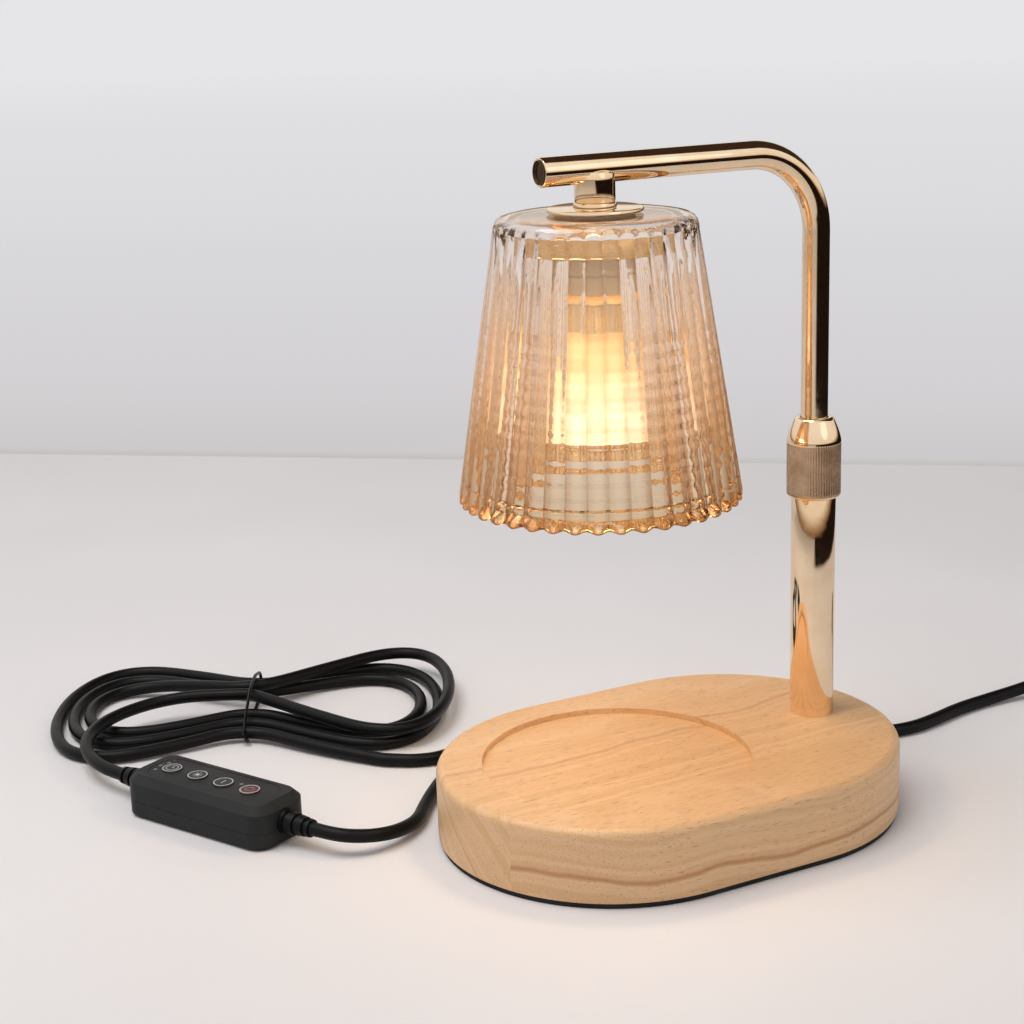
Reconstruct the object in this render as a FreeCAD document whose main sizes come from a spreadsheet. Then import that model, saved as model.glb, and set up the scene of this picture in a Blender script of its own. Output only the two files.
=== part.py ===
"""Height-adjustable table lamp that warms what stands in the recess of its wooden base.

Millimetres, +Z up. The origin is the bottom centre of the base, +X runs along the base
from the recess towards the post, and +Y points to the back.
"""
import FreeCAD, Part
import math
import os
import Sketcher
from FreeCAD import Placement, Rotation, Vector

os.makedirs("parts", exist_ok=True)
doc = FreeCAD.newDocument("TableLamp")

# Driving dimensions
SIZES = {
    # wooden base and its foot
    "base_length": 194, "base_width": 140, "wood_thick": 28.5, "edge_round": 3.5,
    "foot_thick": 2.3, "foot_inset": 0.8,
    "recess_x": -25, "recess_rad": 53.5, "recess_deep": 2.4,
    "cavity_long": 50, "cavity_wide": 34, "cavity_deep": 15,
    # post
    "post_x": 70, "post_rad": 9, "post_wall": 1, "post_top_z": 127,
    "nipple_rad": 5, "nipple_bore": 3.5, "nipple_long": 30, "nut_across": 17, "nut_high": 5,
    "washer_rad": 12, "washer_thick": 1.5, "post_bush_high": 10,
    # clamp at the top of the post
    "collet_spigot": 12, "collet_thread_rad": 8.6, "collet_thread_high": 16, "collet_tip_high": 6,
    "collet_slot": 1.2, "knurl_rad": 10.9, "knurl_low_z": 124, "knurl_high": 21.6,
    "nut_cone_high": 11, "nut_tip_rad": 7.4, "nut_chamfer": 1.2, "knurl_groove": 0.42,
    "knurl_margin": 2.3, "run_gap": 0.06, "loose_gap": 0.3,
    # arm
    "arm_rad": 5.4, "arm_wall": 0.9, "arm_axis_z": 262.4, "arm_bend": 31, "arm_low_z": 76,
    "arm_reach": 100, "arm_overhang": 23, "arm_bush_high": 8, "cap_deep": 6, "cap_sunk": 1,
    # neck, disc and cap that carry the shade
    "neck_rad": 7.6, "neck_low_z": 248.4, "neck_ring": 1.6, "disc_rad": 18, "disc_thick": 1.6,
    "gasket_rad": 15, "gasket_thick": 0.8, "stem_rad": 4.5, "stem_bore": 3,
    "holder_rad": 29, "holder_deep": 12, "holder_wall": 1,
    "stem_nut_across": 14, "stem_nut_high": 3,
    # shade
    "shade_top_rad": 38, "shade_low_rad": 54, "shade_high": 106.4, "shade_wall": 3,
    "shade_shoulder": 5, "shade_top_thick": 4, "flutes": 40, "flute_deep": 1.1,
    # lampholder and bulb
    "socket_rad": 14, "socket_high": 18, "socket_groove_in": 2.2, "socket_groove_out": 8,
    "socket_groove_deep": 9, "pin_spacing": 10, "pin_rad": 1.5, "pin_head_rad": 2.4,
    "pin_long": 7, "bulb_neck_rad": 12, "bulb_neck_high": 14, "bulb_rad": 25, "bulb_cup_high": 38,
    "bulb_wall": 1.4, "bulb_lens_thick": 2, "capsule_rad": 4.5, "capsule_high": 30,
    # leads inside the lamp
    "lead_rad": 2.2, "lead_bend": 9,
    # inline switch
    "switch_x": -161, "switch_y": 93, "switch_turn": -63.2, "switch_long": 76.6,
    "switch_wide": 29.6, "switch_high": 18.4, "switch_seam_z": 7.2, "switch_wall": 1.8,
    "switch_round": 8, "switch_bevel": 3.2, "panel_long": 64, "panel_wide": 19, "panel_thick": 0.6,
    "button_rad": 4.4, "button_high": 7.5, "button_proud": 0.4, "button_first": -23.2,
    "button_pitch": 14.4, "button_travel": 0.5, "board_thick": 1.6, "board_z": 9,
    "led_rad": 0.8, "dome_high": 0.15, "relief_rad": 5.2, "relief_tip_rad": 3.6, "relief_long": 14,
    # cord, tie and plug
    "cord_rad": 2.8, "cord_floor_z": 2.9, "gland_x": 55, "gland_z": 12, "gland_out": 13,
    "gland_in": 12, "gland_rad": 5.2,
    "tie_rad": 0.75, "plug_long": 34, "plug_wide": 25, "plug_high": 17, "plug_relief": 26,
    "blade_long": 17, "blade_wide": 6.3, "blade_thick": 1.5, "blade_gap": 12.7, "wall_gap": 0.2,
}
sheet = doc.addObject("Spreadsheet::Sheet", "Sizes")
for row, (alias, value) in enumerate(SIZES.items(), start=1):
    sheet.set(f"A{row}", alias)
    sheet.set(f"B{row}", str(value))
    sheet.setAlias(f"B{row}", alias)
doc.recompute()


class Cells:
    """Reads a cell of the sheet by its alias."""

    def __getattr__(self, alias):
        return float(getattr(sheet, alias))


v = Cells()


def bound(text):
    """Turn an expression in plain aliases into one that names the sheet."""
    out, word = "", ""
    for sign in text + " ":
        if sign.isalnum() or sign == "_":
            word += sign
            continue
        out += "Sizes." + word if word in SIZES else word
        out, word = out + sign, ""
    return out.strip()


def bind(target, **fields):
    for field, text in fields.items():
        target.setExpression(field.replace("__", "."), bound(str(text)))


def place(target, x="0", y="0", z="0"):
    bind(target, Placement__Base__x=x, Placement__Base__y=y, Placement__Base__z=z)
    return target


def cylinder(name, radius, height, x="0", y="0", z="0"):
    made = doc.addObject("Part::Cylinder", name)
    bind(made, Radius=radius, Height=height)
    return place(made, x, y, z)


def box(name, long, wide, high, x="0", y="0", z="0"):
    """A box centred on x and y, standing on z."""
    made = doc.addObject("Part::Box", name)
    bind(made, Length=long, Width=wide, Height=high)
    return place(made, f"{x} - ({long}) / 2", f"{y} - ({wide}) / 2", z)


def fuse(name, *pieces):
    made = doc.addObject("Part::MultiFuse", name)
    made.Shapes = list(pieces)
    return made


def cut(name, base, *tools):
    made = doc.addObject("Part::Cut", name)
    made.Base = base
    made.Tool = tools[0] if len(tools) == 1 else fuse(name + "_tools", *tools)
    return made


def plane_of(body, role):
    return [item for item in body.Origin.OriginFeatures if item.Role == role][0]


def pin_point(sketch, edge, end, across, up):
    """Fix one end of a sketch edge at two expressions, measured from the origin."""
    for kind, axis, text in (("DistanceX", -2, across), ("DistanceY", -1, up)):
        if text == "0":
            sketch.addConstraint(Sketcher.Constraint("PointOnObject", edge, end, axis))
            continue
        point = sketch.getPoint(edge, end)
        value = point.x if kind == "DistanceX" else point.y
        spot = sketch.addConstraint(Sketcher.Constraint(kind, -1, 1, edge, end, value))
        sketch.setExpression(f"Constraints[{spot}]", bound(text))


def number(text):
    """The present value of an expression in aliases."""
    sheet.set("D1", "=" + text)
    sheet.recompute()
    result = float(sheet.get("D1"))
    sheet.clear("D1")
    return result


def turned(label, outline, x="0", y="0", z="0"):
    """A body turned about its own Z axis from an outline of (radius, height) expressions."""
    body = doc.addObject("PartDesign::Body", label)
    sketch = body.newObject("Sketcher::SketchObject", label + "_outline")
    sketch.AttachmentSupport = (plane_of(body, "XZ_Plane"), [""])
    sketch.MapMode = "FlatFace"
    spots = [Vector(number(r), number(h), 0) for r, h in outline]
    count = len(spots)
    for at in range(count):
        sketch.addGeometry(Part.LineSegment(spots[at], spots[(at + 1) % count]), False)
    for at in range(count):
        sketch.addConstraint(Sketcher.Constraint("Coincident", at, 2, (at + 1) % count, 1))
    for at, (r, h) in enumerate(outline):
        pin_point(sketch, at, 1, r, h)
    spin = body.newObject("PartDesign::Revolution", label + "_spin")
    spin.Profile = sketch
    spin.ReferenceAxis = (sketch, ["V_Axis"])
    spin.Angle = 360
    body.Label = label
    return place(body, x, y, z)


def edges_where(shape, test):
    return [at for at, edge in enumerate(shape.Edges, start=1) if test(edge)]


def rounded(name, base, radius, test, kind="Part::Fillet"):
    """Fillet or chamfer the edges that pass the test."""
    doc.recompute()
    made = doc.addObject(kind, name)
    made.Base = base
    size = number(radius)
    made.Edges = [(at, size, size) for at in edges_where(base.Shape, test)]
    return made


def upright(edge):
    ends = edge.Vertexes
    return len(ends) == 2 and (ends[0].Point - ends[1].Point).cross(Vector(0, 0, 1)).Length < 1e-6


def level_at(z):
    return lambda edge: all(abs(spot.Point.z - z) < 1e-6 for spot in edge.Vertexes)


def solid(label, shape):
    """A piece whose shape is worked out below from the sheet's values."""
    made = doc.addObject("Part::Feature", label)
    made.Shape = shape
    return made


NODES = {}


def node(label, made):
    made.Label = label
    NODES[label] = made
    return made


# Wooden base
wood_top = "(foot_thick + wood_thick)"


def stadium(label, inset, thick, z):
    """A pad with two full-round ends, centred on the origin."""
    body = doc.addObject("PartDesign::Body", label + "_body")
    sketch = body.newObject("Sketcher::SketchObject", label + "_outline")
    sketch.AttachmentSupport = (plane_of(body, "XY_Plane"), [""])
    sketch.MapMode = "FlatFace"
    half, rad = v.base_length / 2 - inset, v.base_width / 2 - inset
    run = half - rad
    ends = ((run, -90, 90), (-run, 90, 270))
    for middle, start, stop in ends:
        circle = Part.Circle(Vector(middle, 0, 0), Vector(0, 0, 1), rad)
        sketch.addGeometry(Part.ArcOfCircle(circle, math.radians(start), math.radians(stop)), False)
    sketch.addGeometry(Part.LineSegment(Vector(run, rad, 0), Vector(-run, rad, 0)), False)
    sketch.addGeometry(Part.LineSegment(Vector(-run, -rad, 0), Vector(run, -rad, 0)), False)
    for first, end, second, start in ((0, 2, 2, 1), (2, 2, 1, 1), (1, 2, 3, 1), (3, 2, 0, 1)):
        sketch.addConstraint(Sketcher.Constraint("Tangent", first, end, second, start))
    for arc in (0, 1):
        sketch.addConstraint(Sketcher.Constraint("PointOnObject", arc, 3, -1))
    spot = sketch.addConstraint(Sketcher.Constraint("Radius", 0, rad))
    sketch.setExpression(f"Constraints[{spot}]", bound(f"base_width / 2 - {inset_text(inset)}"))
    for arc, sign in ((0, ""), (1, "-")):
        spot = sketch.addConstraint(
            Sketcher.Constraint("DistanceX", -1, 1, arc, 3, run if arc == 0 else -run))
        sketch.setExpression(f"Constraints[{spot}]", bound(f"{sign}(base_length - base_width) / 2"))
    pad = body.newObject("PartDesign::Pad", label + "_pad")
    pad.Profile = sketch
    bind(pad, Length=thick)
    return place(body, z=z)


def inset_text(inset):
    return "foot_inset" if inset else "0"


board = stadium("wood_board", 0, "wood_thick", "foot_thick")
recess_sketch = board.newObject("Sketcher::SketchObject", "recess_outline")
recess_sketch.AttachmentSupport = (plane_of(board, "XY_Plane"), [""])
recess_sketch.MapMode = "FlatFace"
bind(recess_sketch, AttachmentOffset__Base__z="wood_thick")
recess_circle = Part.Circle(Vector(v.recess_x, 0, 0), Vector(0, 0, 1), v.recess_rad)
recess_sketch.addGeometry(recess_circle, False)
pin_point(recess_sketch, 0, 3, "recess_x", "0")
recess_spot = recess_sketch.addConstraint(Sketcher.Constraint("Radius", 0, v.recess_rad))
recess_sketch.setExpression(f"Constraints[{recess_spot}]", bound("recess_rad"))
recess = board.newObject("PartDesign::Pocket", "recess")
recess.Profile = recess_sketch
bind(recess, Length="recess_deep")
doc.recompute()
rim = board.newObject("PartDesign::Fillet", "soft_edge")
rim_edges = edges_where(
    recess.Shape, lambda e: level_at(v.wood_thick)(e) and abs(e.CenterOfMass.x) + abs(e.CenterOfMass.y) > 40
    and not (e.Closed and abs(e.CenterOfMass.x - v.recess_x) < 1))
rim.Base = (recess, [f"Edge{at}" for at in rim_edges])
bind(rim, Radius="edge_round")
board.Tip = rim
cavity = box("wire_cavity", "cavity_long", "cavity_wide", "cavity_deep", "post_x - 12", "0",
             "foot_thick - 1")
nipple_hole = cylinder("nipple_hole", "nipple_rad + loose_gap", "foot_thick + wood_thick + 1", "post_x")
gland_hole = cylinder("gland_hole", "gland_rad + run_gap", "base_width / 2", "gland_x",
                      "cavity_wide / 2 - 1", "gland_z")
gland_hole.Placement.Rotation = Rotation(Vector(1, 0, 0), -90)
node("wood_base", cut("wood_base_shape", board, cavity, nipple_hole, gland_hole))
node("foot_pad", stadium("foot_sheet", v.foot_inset, "foot_thick - 0.02", "0"))

# Post with the stem, washer and nut that hold it down
cavity_roof = "(foot_thick - 1 + cavity_deep)"
node("post_tube", turned("post_tube", [
    ("post_rad - post_wall", "0"), ("post_rad", "0"), ("post_rad", "post_top_z - foot_thick - wood_thick - 0.5"),
    ("post_rad - 0.5", "post_top_z - foot_thick - wood_thick"),
    ("post_rad - post_wall", "post_top_z - foot_thick - wood_thick")], "post_x", "0", wood_top))
node("post_bush", turned("post_bush", [
    ("nipple_rad", "0"), ("post_rad - post_wall", "0"), ("post_rad - post_wall", "post_bush_high"),
    ("nipple_rad", "post_bush_high")], "post_x", "0", wood_top))
node("post_stem", turned("post_stem", [
    ("nipple_bore", "0"), ("nipple_rad", "0"), ("nipple_rad", "nipple_long"), ("nipple_bore", "nipple_long")],
    "post_x", "0", f"{wood_top} + post_bush_high - nipple_long"))
node("post_washer", turned("post_washer", [
    ("nipple_rad + loose_gap", "0"), ("washer_rad", "0"), ("washer_rad", "washer_thick"),
    ("nipple_rad + loose_gap", "washer_thick")], "post_x", "0", f"{cavity_roof} - washer_thick"))


def hex_nut(name, across, high, bore, x, z):
    prism = doc.addObject("Part::Prism", name + "_hex")
    prism.Polygon = 6
    bind(prism, Circumradius=f"({across}) / sqrt(3)", Height=high)
    place(prism, x, "0", z)
    return cut(name + "_shape", prism, cylinder(name + "_hole", bore, high, x, "0", z))


node("post_nut", hex_nut("post_nut", "nut_across", "nut_high", "nipple_rad", "post_x",
                         f"{cavity_roof} - washer_thick - nut_high"))

# Split collet that grips the arm, and the knurled nut that closes it
collet_low = "(post_top_z - collet_spigot)"
collet_high = "(collet_spigot + collet_thread_high + collet_tip_high)"
collet_blank = turned("collet_blank", [
    ("arm_rad + run_gap", "0"), ("post_rad - post_wall - run_gap", "0"),
    ("post_rad - post_wall - run_gap", "collet_spigot"),
    ("collet_thread_rad", "collet_spigot"), ("collet_thread_rad", "collet_spigot + collet_thread_high"),
    ("nut_tip_rad - 0.6", collet_high), ("arm_rad + run_gap", collet_high)], "post_x", "0", collet_low)
slot_one = box("collet_slot_one", "3 * post_rad", "collet_slot", "collet_thread_high + 20", "post_x",
               "0", "post_top_z + 4")
slot_two = box("collet_slot_two", "collet_slot", "3 * post_rad", "collet_thread_high + 20", "post_x",
               "0", "post_top_z + 4")
node("split_collet", cut("split_collet_shape", collet_blank, slot_one, slot_two))
nut_inner = "(collet_thread_rad + run_gap)"
nut_blank = turned("nut_blank", [
    ("post_rad + run_gap", "0"), ("knurl_rad - nut_chamfer", "0"), ("knurl_rad", "nut_chamfer"),
    ("knurl_rad", "knurl_high"), ("nut_tip_rad", "knurl_high + nut_cone_high"),
    ("arm_rad + loose_gap", "knurl_high + nut_cone_high"),
    ("arm_rad + loose_gap", "knurl_high + nut_cone_high - 1.4"),
    (nut_inner, "post_top_z + collet_thread_high - knurl_low_z"),
    (nut_inner, "post_top_z + 0.2 - knurl_low_z"),
    ("post_rad + run_gap", "post_top_z + 0.2 - knurl_low_z")], "post_x", "0", "knurl_low_z")
doc.recompute()
GROOVES = 60
groove = Part.makeCylinder(v.knurl_groove, v.knurl_high - 2 * v.knurl_margin,
                           Vector(v.post_x + v.knurl_rad + 0.1, 0, v.knurl_low_z + v.knurl_margin))
grooves = [groove.rotated(Vector(v.post_x, 0, 0), Vector(0, 0, 1), 360 * at / GROOVES)
           for at in range(GROOVES)]
knurl_tool = solid("knurl_grooves", Part.makeCompound(grooves))
node("collet_nut", cut("collet_nut_shape", nut_blank, knurl_tool))


def tube_body(label, outer, inner, low, reach_end, bend, top):
    """A tube that stands at the post, bends and runs level towards -X."""
    body = doc.addObject("PartDesign::Body", label + "_body")
    path = body.newObject("Sketcher::SketchObject", label + "_path")
    path.AttachmentSupport = (plane_of(body, "XZ_Plane"), [""])
    path.MapMode = "FlatFace"
    z0, z1, rad, x1 = number(low), number(top), number(bend), number(reach_end)
    path.addGeometry(Part.LineSegment(Vector(0, z0, 0), Vector(0, z1 - rad, 0)), False)
    circle = Part.Circle(Vector(-rad, z1 - rad, 0), Vector(0, 0, 1), rad)
    path.addGeometry(Part.ArcOfCircle(circle, 0, math.pi / 2), False)
    path.addGeometry(Part.LineSegment(Vector(-rad, z1, 0), Vector(x1, z1, 0)), False)
    path.addConstraint(Sketcher.Constraint("Tangent", 0, 2, 1, 1))
    path.addConstraint(Sketcher.Constraint("Tangent", 1, 2, 2, 1))
    path.addConstraint(Sketcher.Constraint("Horizontal", 2))
    pin_point(path, 0, 1, "0", low)
    pin_point(path, 2, 2, reach_end, top)
    spot = path.addConstraint(Sketcher.Constraint("Radius", 1, rad))
    path.setExpression(f"Constraints[{spot}]", bound(bend))
    ring = body.newObject("Sketcher::SketchObject", label + "_section")
    ring.AttachmentSupport = (plane_of(body, "XY_Plane"), [""])
    ring.MapMode = "FlatFace"
    bind(ring, AttachmentOffset__Base__z=low)
    for at, text in enumerate([outer] + ([inner] if inner else [])):
        ring.addGeometry(Part.Circle(Vector(0, 0, 0), Vector(0, 0, 1), number(text)), False)
        ring.addConstraint(Sketcher.Constraint("Coincident", at, 3, -1, 1))
        spot = ring.addConstraint(Sketcher.Constraint("Radius", at, number(text)))
        ring.setExpression(f"Constraints[{spot}]", bound(text))
    pipe = body.newObject("PartDesign::AdditivePipe", label + "_pipe")
    pipe.Profile = ring
    pipe.Spine = (path, ["Edge1", "Edge2", "Edge3"])
    return place(body, "post_x")


# Arm
arm_tube = tube_body("arm", "arm_rad", "arm_rad - arm_wall", "arm_low_z", "-(arm_reach + arm_overhang)",
                     "arm_bend", "arm_axis_z")
shade_x = "(post_x - arm_reach)"
stem_hole = cylinder("arm_stem_hole", "stem_rad", "arm_rad * 2", shade_x, "0", "arm_axis_z - 2 * arm_rad")
node("arm_tube", cut("arm_tube_shape", arm_tube, stem_hole))
cap_z = "(arm_reach + arm_overhang)"
end_cap = turned("arm_end_cap_turned", [
    ("0", "cap_sunk"), ("arm_rad - arm_wall - 1.2", "cap_sunk"), ("arm_rad - arm_wall - 0.7", "0.3"),
    ("arm_rad - arm_wall", "0.3"), ("arm_rad - arm_wall", "cap_deep"), ("0", "cap_deep")],
    f"post_x - {cap_z}", "0", "arm_axis_z")
end_cap.Placement.Rotation = Rotation(Vector(0, 1, 0), 90)
node("arm_end_cap", end_cap)
node("arm_guide_bush", turned("arm_guide_bush", [
    ("arm_rad", "0"), ("post_rad - post_wall - run_gap", "0"),
    ("post_rad - post_wall - run_gap", "arm_bush_high"), ("arm_rad", "arm_bush_high")],
    "post_x", "0", "arm_low_z"))

# Neck, disc and gasket above the glass
glass_top = "(neck_low_z - disc_thick - gasket_thick)"
neck_blank = turned("neck_blank", [
    ("stem_rad", "0"), ("neck_rad + 0.5", "0"), ("neck_rad + 0.5", "neck_ring"), ("neck_rad", "neck_ring + 0.4"),
    ("neck_rad", "arm_axis_z - neck_low_z - 1"), ("stem_rad", "arm_axis_z - neck_low_z - 1")],
    shade_x, "0", "neck_low_z")
saddle = cylinder("neck_saddle", "arm_rad", "4 * neck_rad", f"{shade_x} - 2 * neck_rad", "0", "arm_axis_z")
saddle.Placement.Rotation = Rotation(Vector(0, 1, 0), 90)
node("neck", cut("neck_shape", neck_blank, saddle))
node("top_disc", turned("top_disc", [
    ("stem_rad", "0"), ("disc_rad", "0"), ("disc_rad", "disc_thick - 0.5"), ("disc_rad - 0.6", "disc_thick"),
    ("stem_rad", "disc_thick")], shade_x, "0", "neck_low_z - disc_thick"))
node("top_gasket", turned("top_gasket", [
    ("stem_rad", "0"), ("gasket_rad", "0"), ("gasket_rad", "gasket_thick"), ("stem_rad", "gasket_thick")],
    shade_x, "0", glass_top))

# Shade: a fluted glass frustum with a flat top, open below


def scalloped(radius, deep, z):
    """A closed wire of shallow arcs that bulge outwards, one for each flute."""
    count = int(v.flutes)
    step = 2 * math.pi / count

    def spot(turn, rad):
        return Vector(rad * math.cos(turn), rad * math.sin(turn), z)

    arcs = [Part.Arc(spot(at * step, radius - deep), spot((at + 0.5) * step, radius),
                     spot((at + 1) * step, radius - deep)).toShape() for at in range(count)]
    return Part.Wire(arcs)


glass_z = number(glass_top)
shade_low_z = glass_z - v.shade_high
slope = (v.shade_low_rad - v.shade_top_rad) / (v.shade_high - v.shade_shoulder)
inner_high = v.shade_high - v.shade_top_thick
glass_outer = Part.makeLoft([
    scalloped(v.shade_low_rad, v.flute_deep, 0),
    scalloped(v.shade_top_rad, v.flute_deep * 0.8, v.shade_high - v.shade_shoulder),
    scalloped(v.shade_top_rad - v.shade_shoulder * 0.6, v.flute_deep * 0.3, v.shade_high)], True, True)
glass_inner = Part.makeCone(v.shade_low_rad - v.shade_wall - v.flute_deep,
                            v.shade_low_rad - v.shade_wall - v.flute_deep - slope * inner_high, inner_high)
stem_way = Part.makeCylinder(v.stem_rad + v.loose_gap, v.shade_top_thick * 3,
                             Vector(0, 0, inner_high - v.shade_top_thick))
shade_glass = glass_outer.cut(glass_inner).cut(stem_way)
shade_glass.translate(Vector(number(shade_x), 0, shade_low_z))
node("glass_shade", solid("glass_shade_shape", shade_glass))

# Lampholder under the glass
under_glass = f"({glass_top} - shade_top_thick)"
node("holder_cup", turned("holder_cup", [
    ("stem_rad", "-holder_wall"), ("holder_rad - holder_wall", "-holder_wall"),
    ("holder_rad - holder_wall", "-holder_deep"), ("holder_rad", "-holder_deep"),
    ("holder_rad", "-0.05"), ("stem_rad", "-0.05")], shade_x, "0", under_glass))
stem_low = f"({under_glass} - holder_wall - stem_nut_high - 1)"
stem_piece = turned("holder_stem_turned", [
    ("stem_bore", "0"), ("stem_rad", "0"), ("stem_rad", f"arm_axis_z - arm_rad + arm_wall - {stem_low}"),
    ("stem_bore", f"arm_axis_z - arm_rad + arm_wall - {stem_low}")], shade_x, "0", stem_low)
node("holder_stem", stem_piece)
node("holder_nut", hex_nut("holder_nut", "stem_nut_across", "stem_nut_high", "stem_rad", shade_x,
                           f"{under_glass} - holder_wall - stem_nut_high"))
socket_top = f"({stem_low} - 2)"
socket_low = f"({socket_top} - socket_high)"
node("lamp_socket", turned("lamp_socket", [
    ("0", "0"), ("socket_groove_in", "0"), ("socket_groove_in", "socket_groove_deep"),
    ("socket_groove_out", "socket_groove_deep"), ("socket_groove_out", "0"), ("socket_rad - 0.8", "0"),
    ("socket_rad", "0.8"), ("socket_rad", "socket_high"), ("0", "socket_high")],
    shade_x, "0", socket_low))
bracket_high = f"{under_glass} - holder_wall - {socket_top} + 4"
brackets = [box(f"bracket_leg_{side}", "2.4", "8", bracket_high, f"{shade_x} {sign} (socket_rad + 1.2)", "0",
                f"{socket_top} - 4") for side, sign in (("near", "-"), ("far", "+"))]
node("socket_brackets", fuse("socket_brackets_shape", *brackets))

# Bulb: neck with two pins, reflector cup, lens and the bright capsule inside
bulb_top = f"({socket_low} - 0.3)"
bulb_neck = turned("bulb_neck_turned", [
    ("0", "0"), ("bulb_neck_rad - 3", "0"), ("bulb_neck_rad", "-3"), ("bulb_neck_rad", "-bulb_neck_high"),
    ("0", "-bulb_neck_high")], shade_x, "0", bulb_top)
pins = []
for side, sign in (("near", "-"), ("far", "+")):
    pin_x = f"{shade_x} {sign} pin_spacing / 2"
    pins.append(cylinder(f"bulb_pin_{side}", "pin_rad", "pin_long", pin_x, "0", bulb_top))
    pins.append(cylinder(f"bulb_pin_head_{side}", "pin_head_rad", "2", pin_x, "0",
                         f"{bulb_top} + pin_long - 2"))
node("bulb_neck", fuse("bulb_neck_shape", bulb_neck, *pins))
cup_low = "(-bulb_neck_high - bulb_cup_high)"
node("bulb_reflector", turned("bulb_reflector", [
    ("0", "-bulb_neck_high"), ("bulb_neck_rad", "-bulb_neck_high"),
    ("bulb_rad * 0.74", f"-bulb_neck_high - bulb_cup_high * 0.32"),
    ("bulb_rad * 0.93", f"-bulb_neck_high - bulb_cup_high * 0.68"), ("bulb_rad", f"{cup_low}"),
    ("bulb_rad - bulb_wall", f"{cup_low}"),
    ("bulb_rad * 0.93 - bulb_wall", f"-bulb_neck_high - bulb_cup_high * 0.68"),
    ("bulb_rad * 0.74 - bulb_wall", f"-bulb_neck_high - bulb_cup_high * 0.36"),
    ("bulb_neck_rad - bulb_wall", "-bulb_neck_high - 2"), ("0", "-bulb_neck_high - 2")],
    shade_x, "0", bulb_top))
node("bulb_capsule", turned("bulb_capsule", [
    ("0", "-bulb_neck_high - 2"), ("capsule_rad", "-bulb_neck_high - 2"),
    ("capsule_rad", "-bulb_neck_high - 2 - capsule_high + 3"),
    ("capsule_rad - 2.4", "-bulb_neck_high - 2 - capsule_high"), ("0", "-bulb_neck_high - 2 - capsule_high")],
    shade_x, "0", bulb_top))
node("bulb_lens", turned("bulb_lens", [
    ("0", f"{cup_low} + bulb_lens_thick"), ("bulb_rad - bulb_wall - 0.5", f"{cup_low} + bulb_lens_thick"),
    ("bulb_rad - bulb_wall - 0.5", cup_low), ("0", f"{cup_low} - 0.8")], shade_x, "0", bulb_top))

# Leads and terminal inside the lamp
node("arm_lead", tube_body("arm_lead", "lead_rad", None, "arm_low_z + 1", "-(arm_reach - 8)", "arm_bend",
                           "arm_axis_z"))
node("terminal_block", box("terminal_block_shape", "12", "18", "9", "post_x - 26", "0", "foot_thick"))

# Gland in the base's back, where the round end begins
end_middle = (v.base_length - v.base_width) / 2
gland_face_y = math.sqrt((v.base_width / 2) ** 2 - (v.gland_x - end_middle) ** 2)
gland_face = "sqrt((base_width / 2) ^ 2 - (gland_x - (base_length - base_width) / 2) ^ 2)"


def relief(label, rad, tip, long, rings, x="0", y="0", z="0"):
    """A tapered sleeve with grooves round it, standing on its wide end."""
    outline = [("0", "0"), (rad, "0")]
    for ring in range(rings):
        for share, deep in ((0.35, 0), (0.4, 0.9), (0.65, 0.9), (0.7, 0)):
            along = (ring + share) / rings
            outline.append((f"({rad}) - (({rad}) - ({tip})) * {along:.4f} - {deep}", f"({long}) * {along:.4f}"))
    outline += [(tip, long), ("0", long)]
    return turned(label, outline, x, y, z)


gland = relief("cord_gland_turned", "gland_rad", "cord_rad + 1.4", "gland_in + gland_out", 3,
               "gland_x", f"{gland_face} - gland_in", "gland_z")
gland.Placement.Rotation = Rotation(Vector(1, 0, 0), -90)
node("cord_gland", gland)

# Inline switch, built along X about its own middle and then laid beside the base
switch_seat = Placement(Vector(v.switch_x, v.switch_y, 0), Rotation(Vector(0, 0, 1), v.switch_turn))


def round_block(name, long, wide, high, z, corner):
    block = box(name, long, wide, high, "0", "0", z)
    return rounded(name + "_round", block, corner, upright)


upper_blank = round_block("switch_upper", "switch_long", "switch_wide", "switch_high - switch_seam_z",
                          "switch_seam_z", "switch_round")
upper_outer = rounded("switch_upper_bevel", upper_blank, "switch_bevel", level_at(v.switch_high),
                      "Part::Chamfer")
upper_room = round_block("switch_upper_room", "switch_long - 2 * switch_wall",
                         "switch_wide - 2 * switch_wall", "switch_high - switch_wall - switch_bevel",
                         "0", "switch_round - switch_wall")
panel_bed = round_block("panel_bed", "panel_long", "panel_wide", "panel_thick", "switch_high - panel_thick",
                        "panel_wide / 2.6")
button_spots = [f"button_first + {at} * button_pitch" for at in range(4)]
button_holes = [cylinder(f"button_hole_{at}", "button_rad + 0.15", "switch_wall + switch_bevel + 2", spot,
                         "0", "switch_high - switch_wall - switch_bevel - 1")
                for at, spot in enumerate(button_spots)]
led_spots = [("button_first - 5.8", "-4"), ("button_first - 6.8", "0"), ("button_first - 5.8", "4"),
             ("button_first + 2.5 * button_pitch", "3")]
led_ways = [cylinder(f"led_way_{at}", "led_rad + 0.1", "6", along, side, "switch_high - 6")
            for at, (along, side) in enumerate(led_spots)]


def cord_hole(name, sign):
    hole = cylinder(name, "relief_rad - 1.2", "3 * switch_wall",
                    f"{sign} switch_long / 2 - 1.5 * switch_wall", "0", "switch_high / 2")
    hole.Placement.Rotation = Rotation(Vector(0, 1, 0), 90)
    return hole


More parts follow.
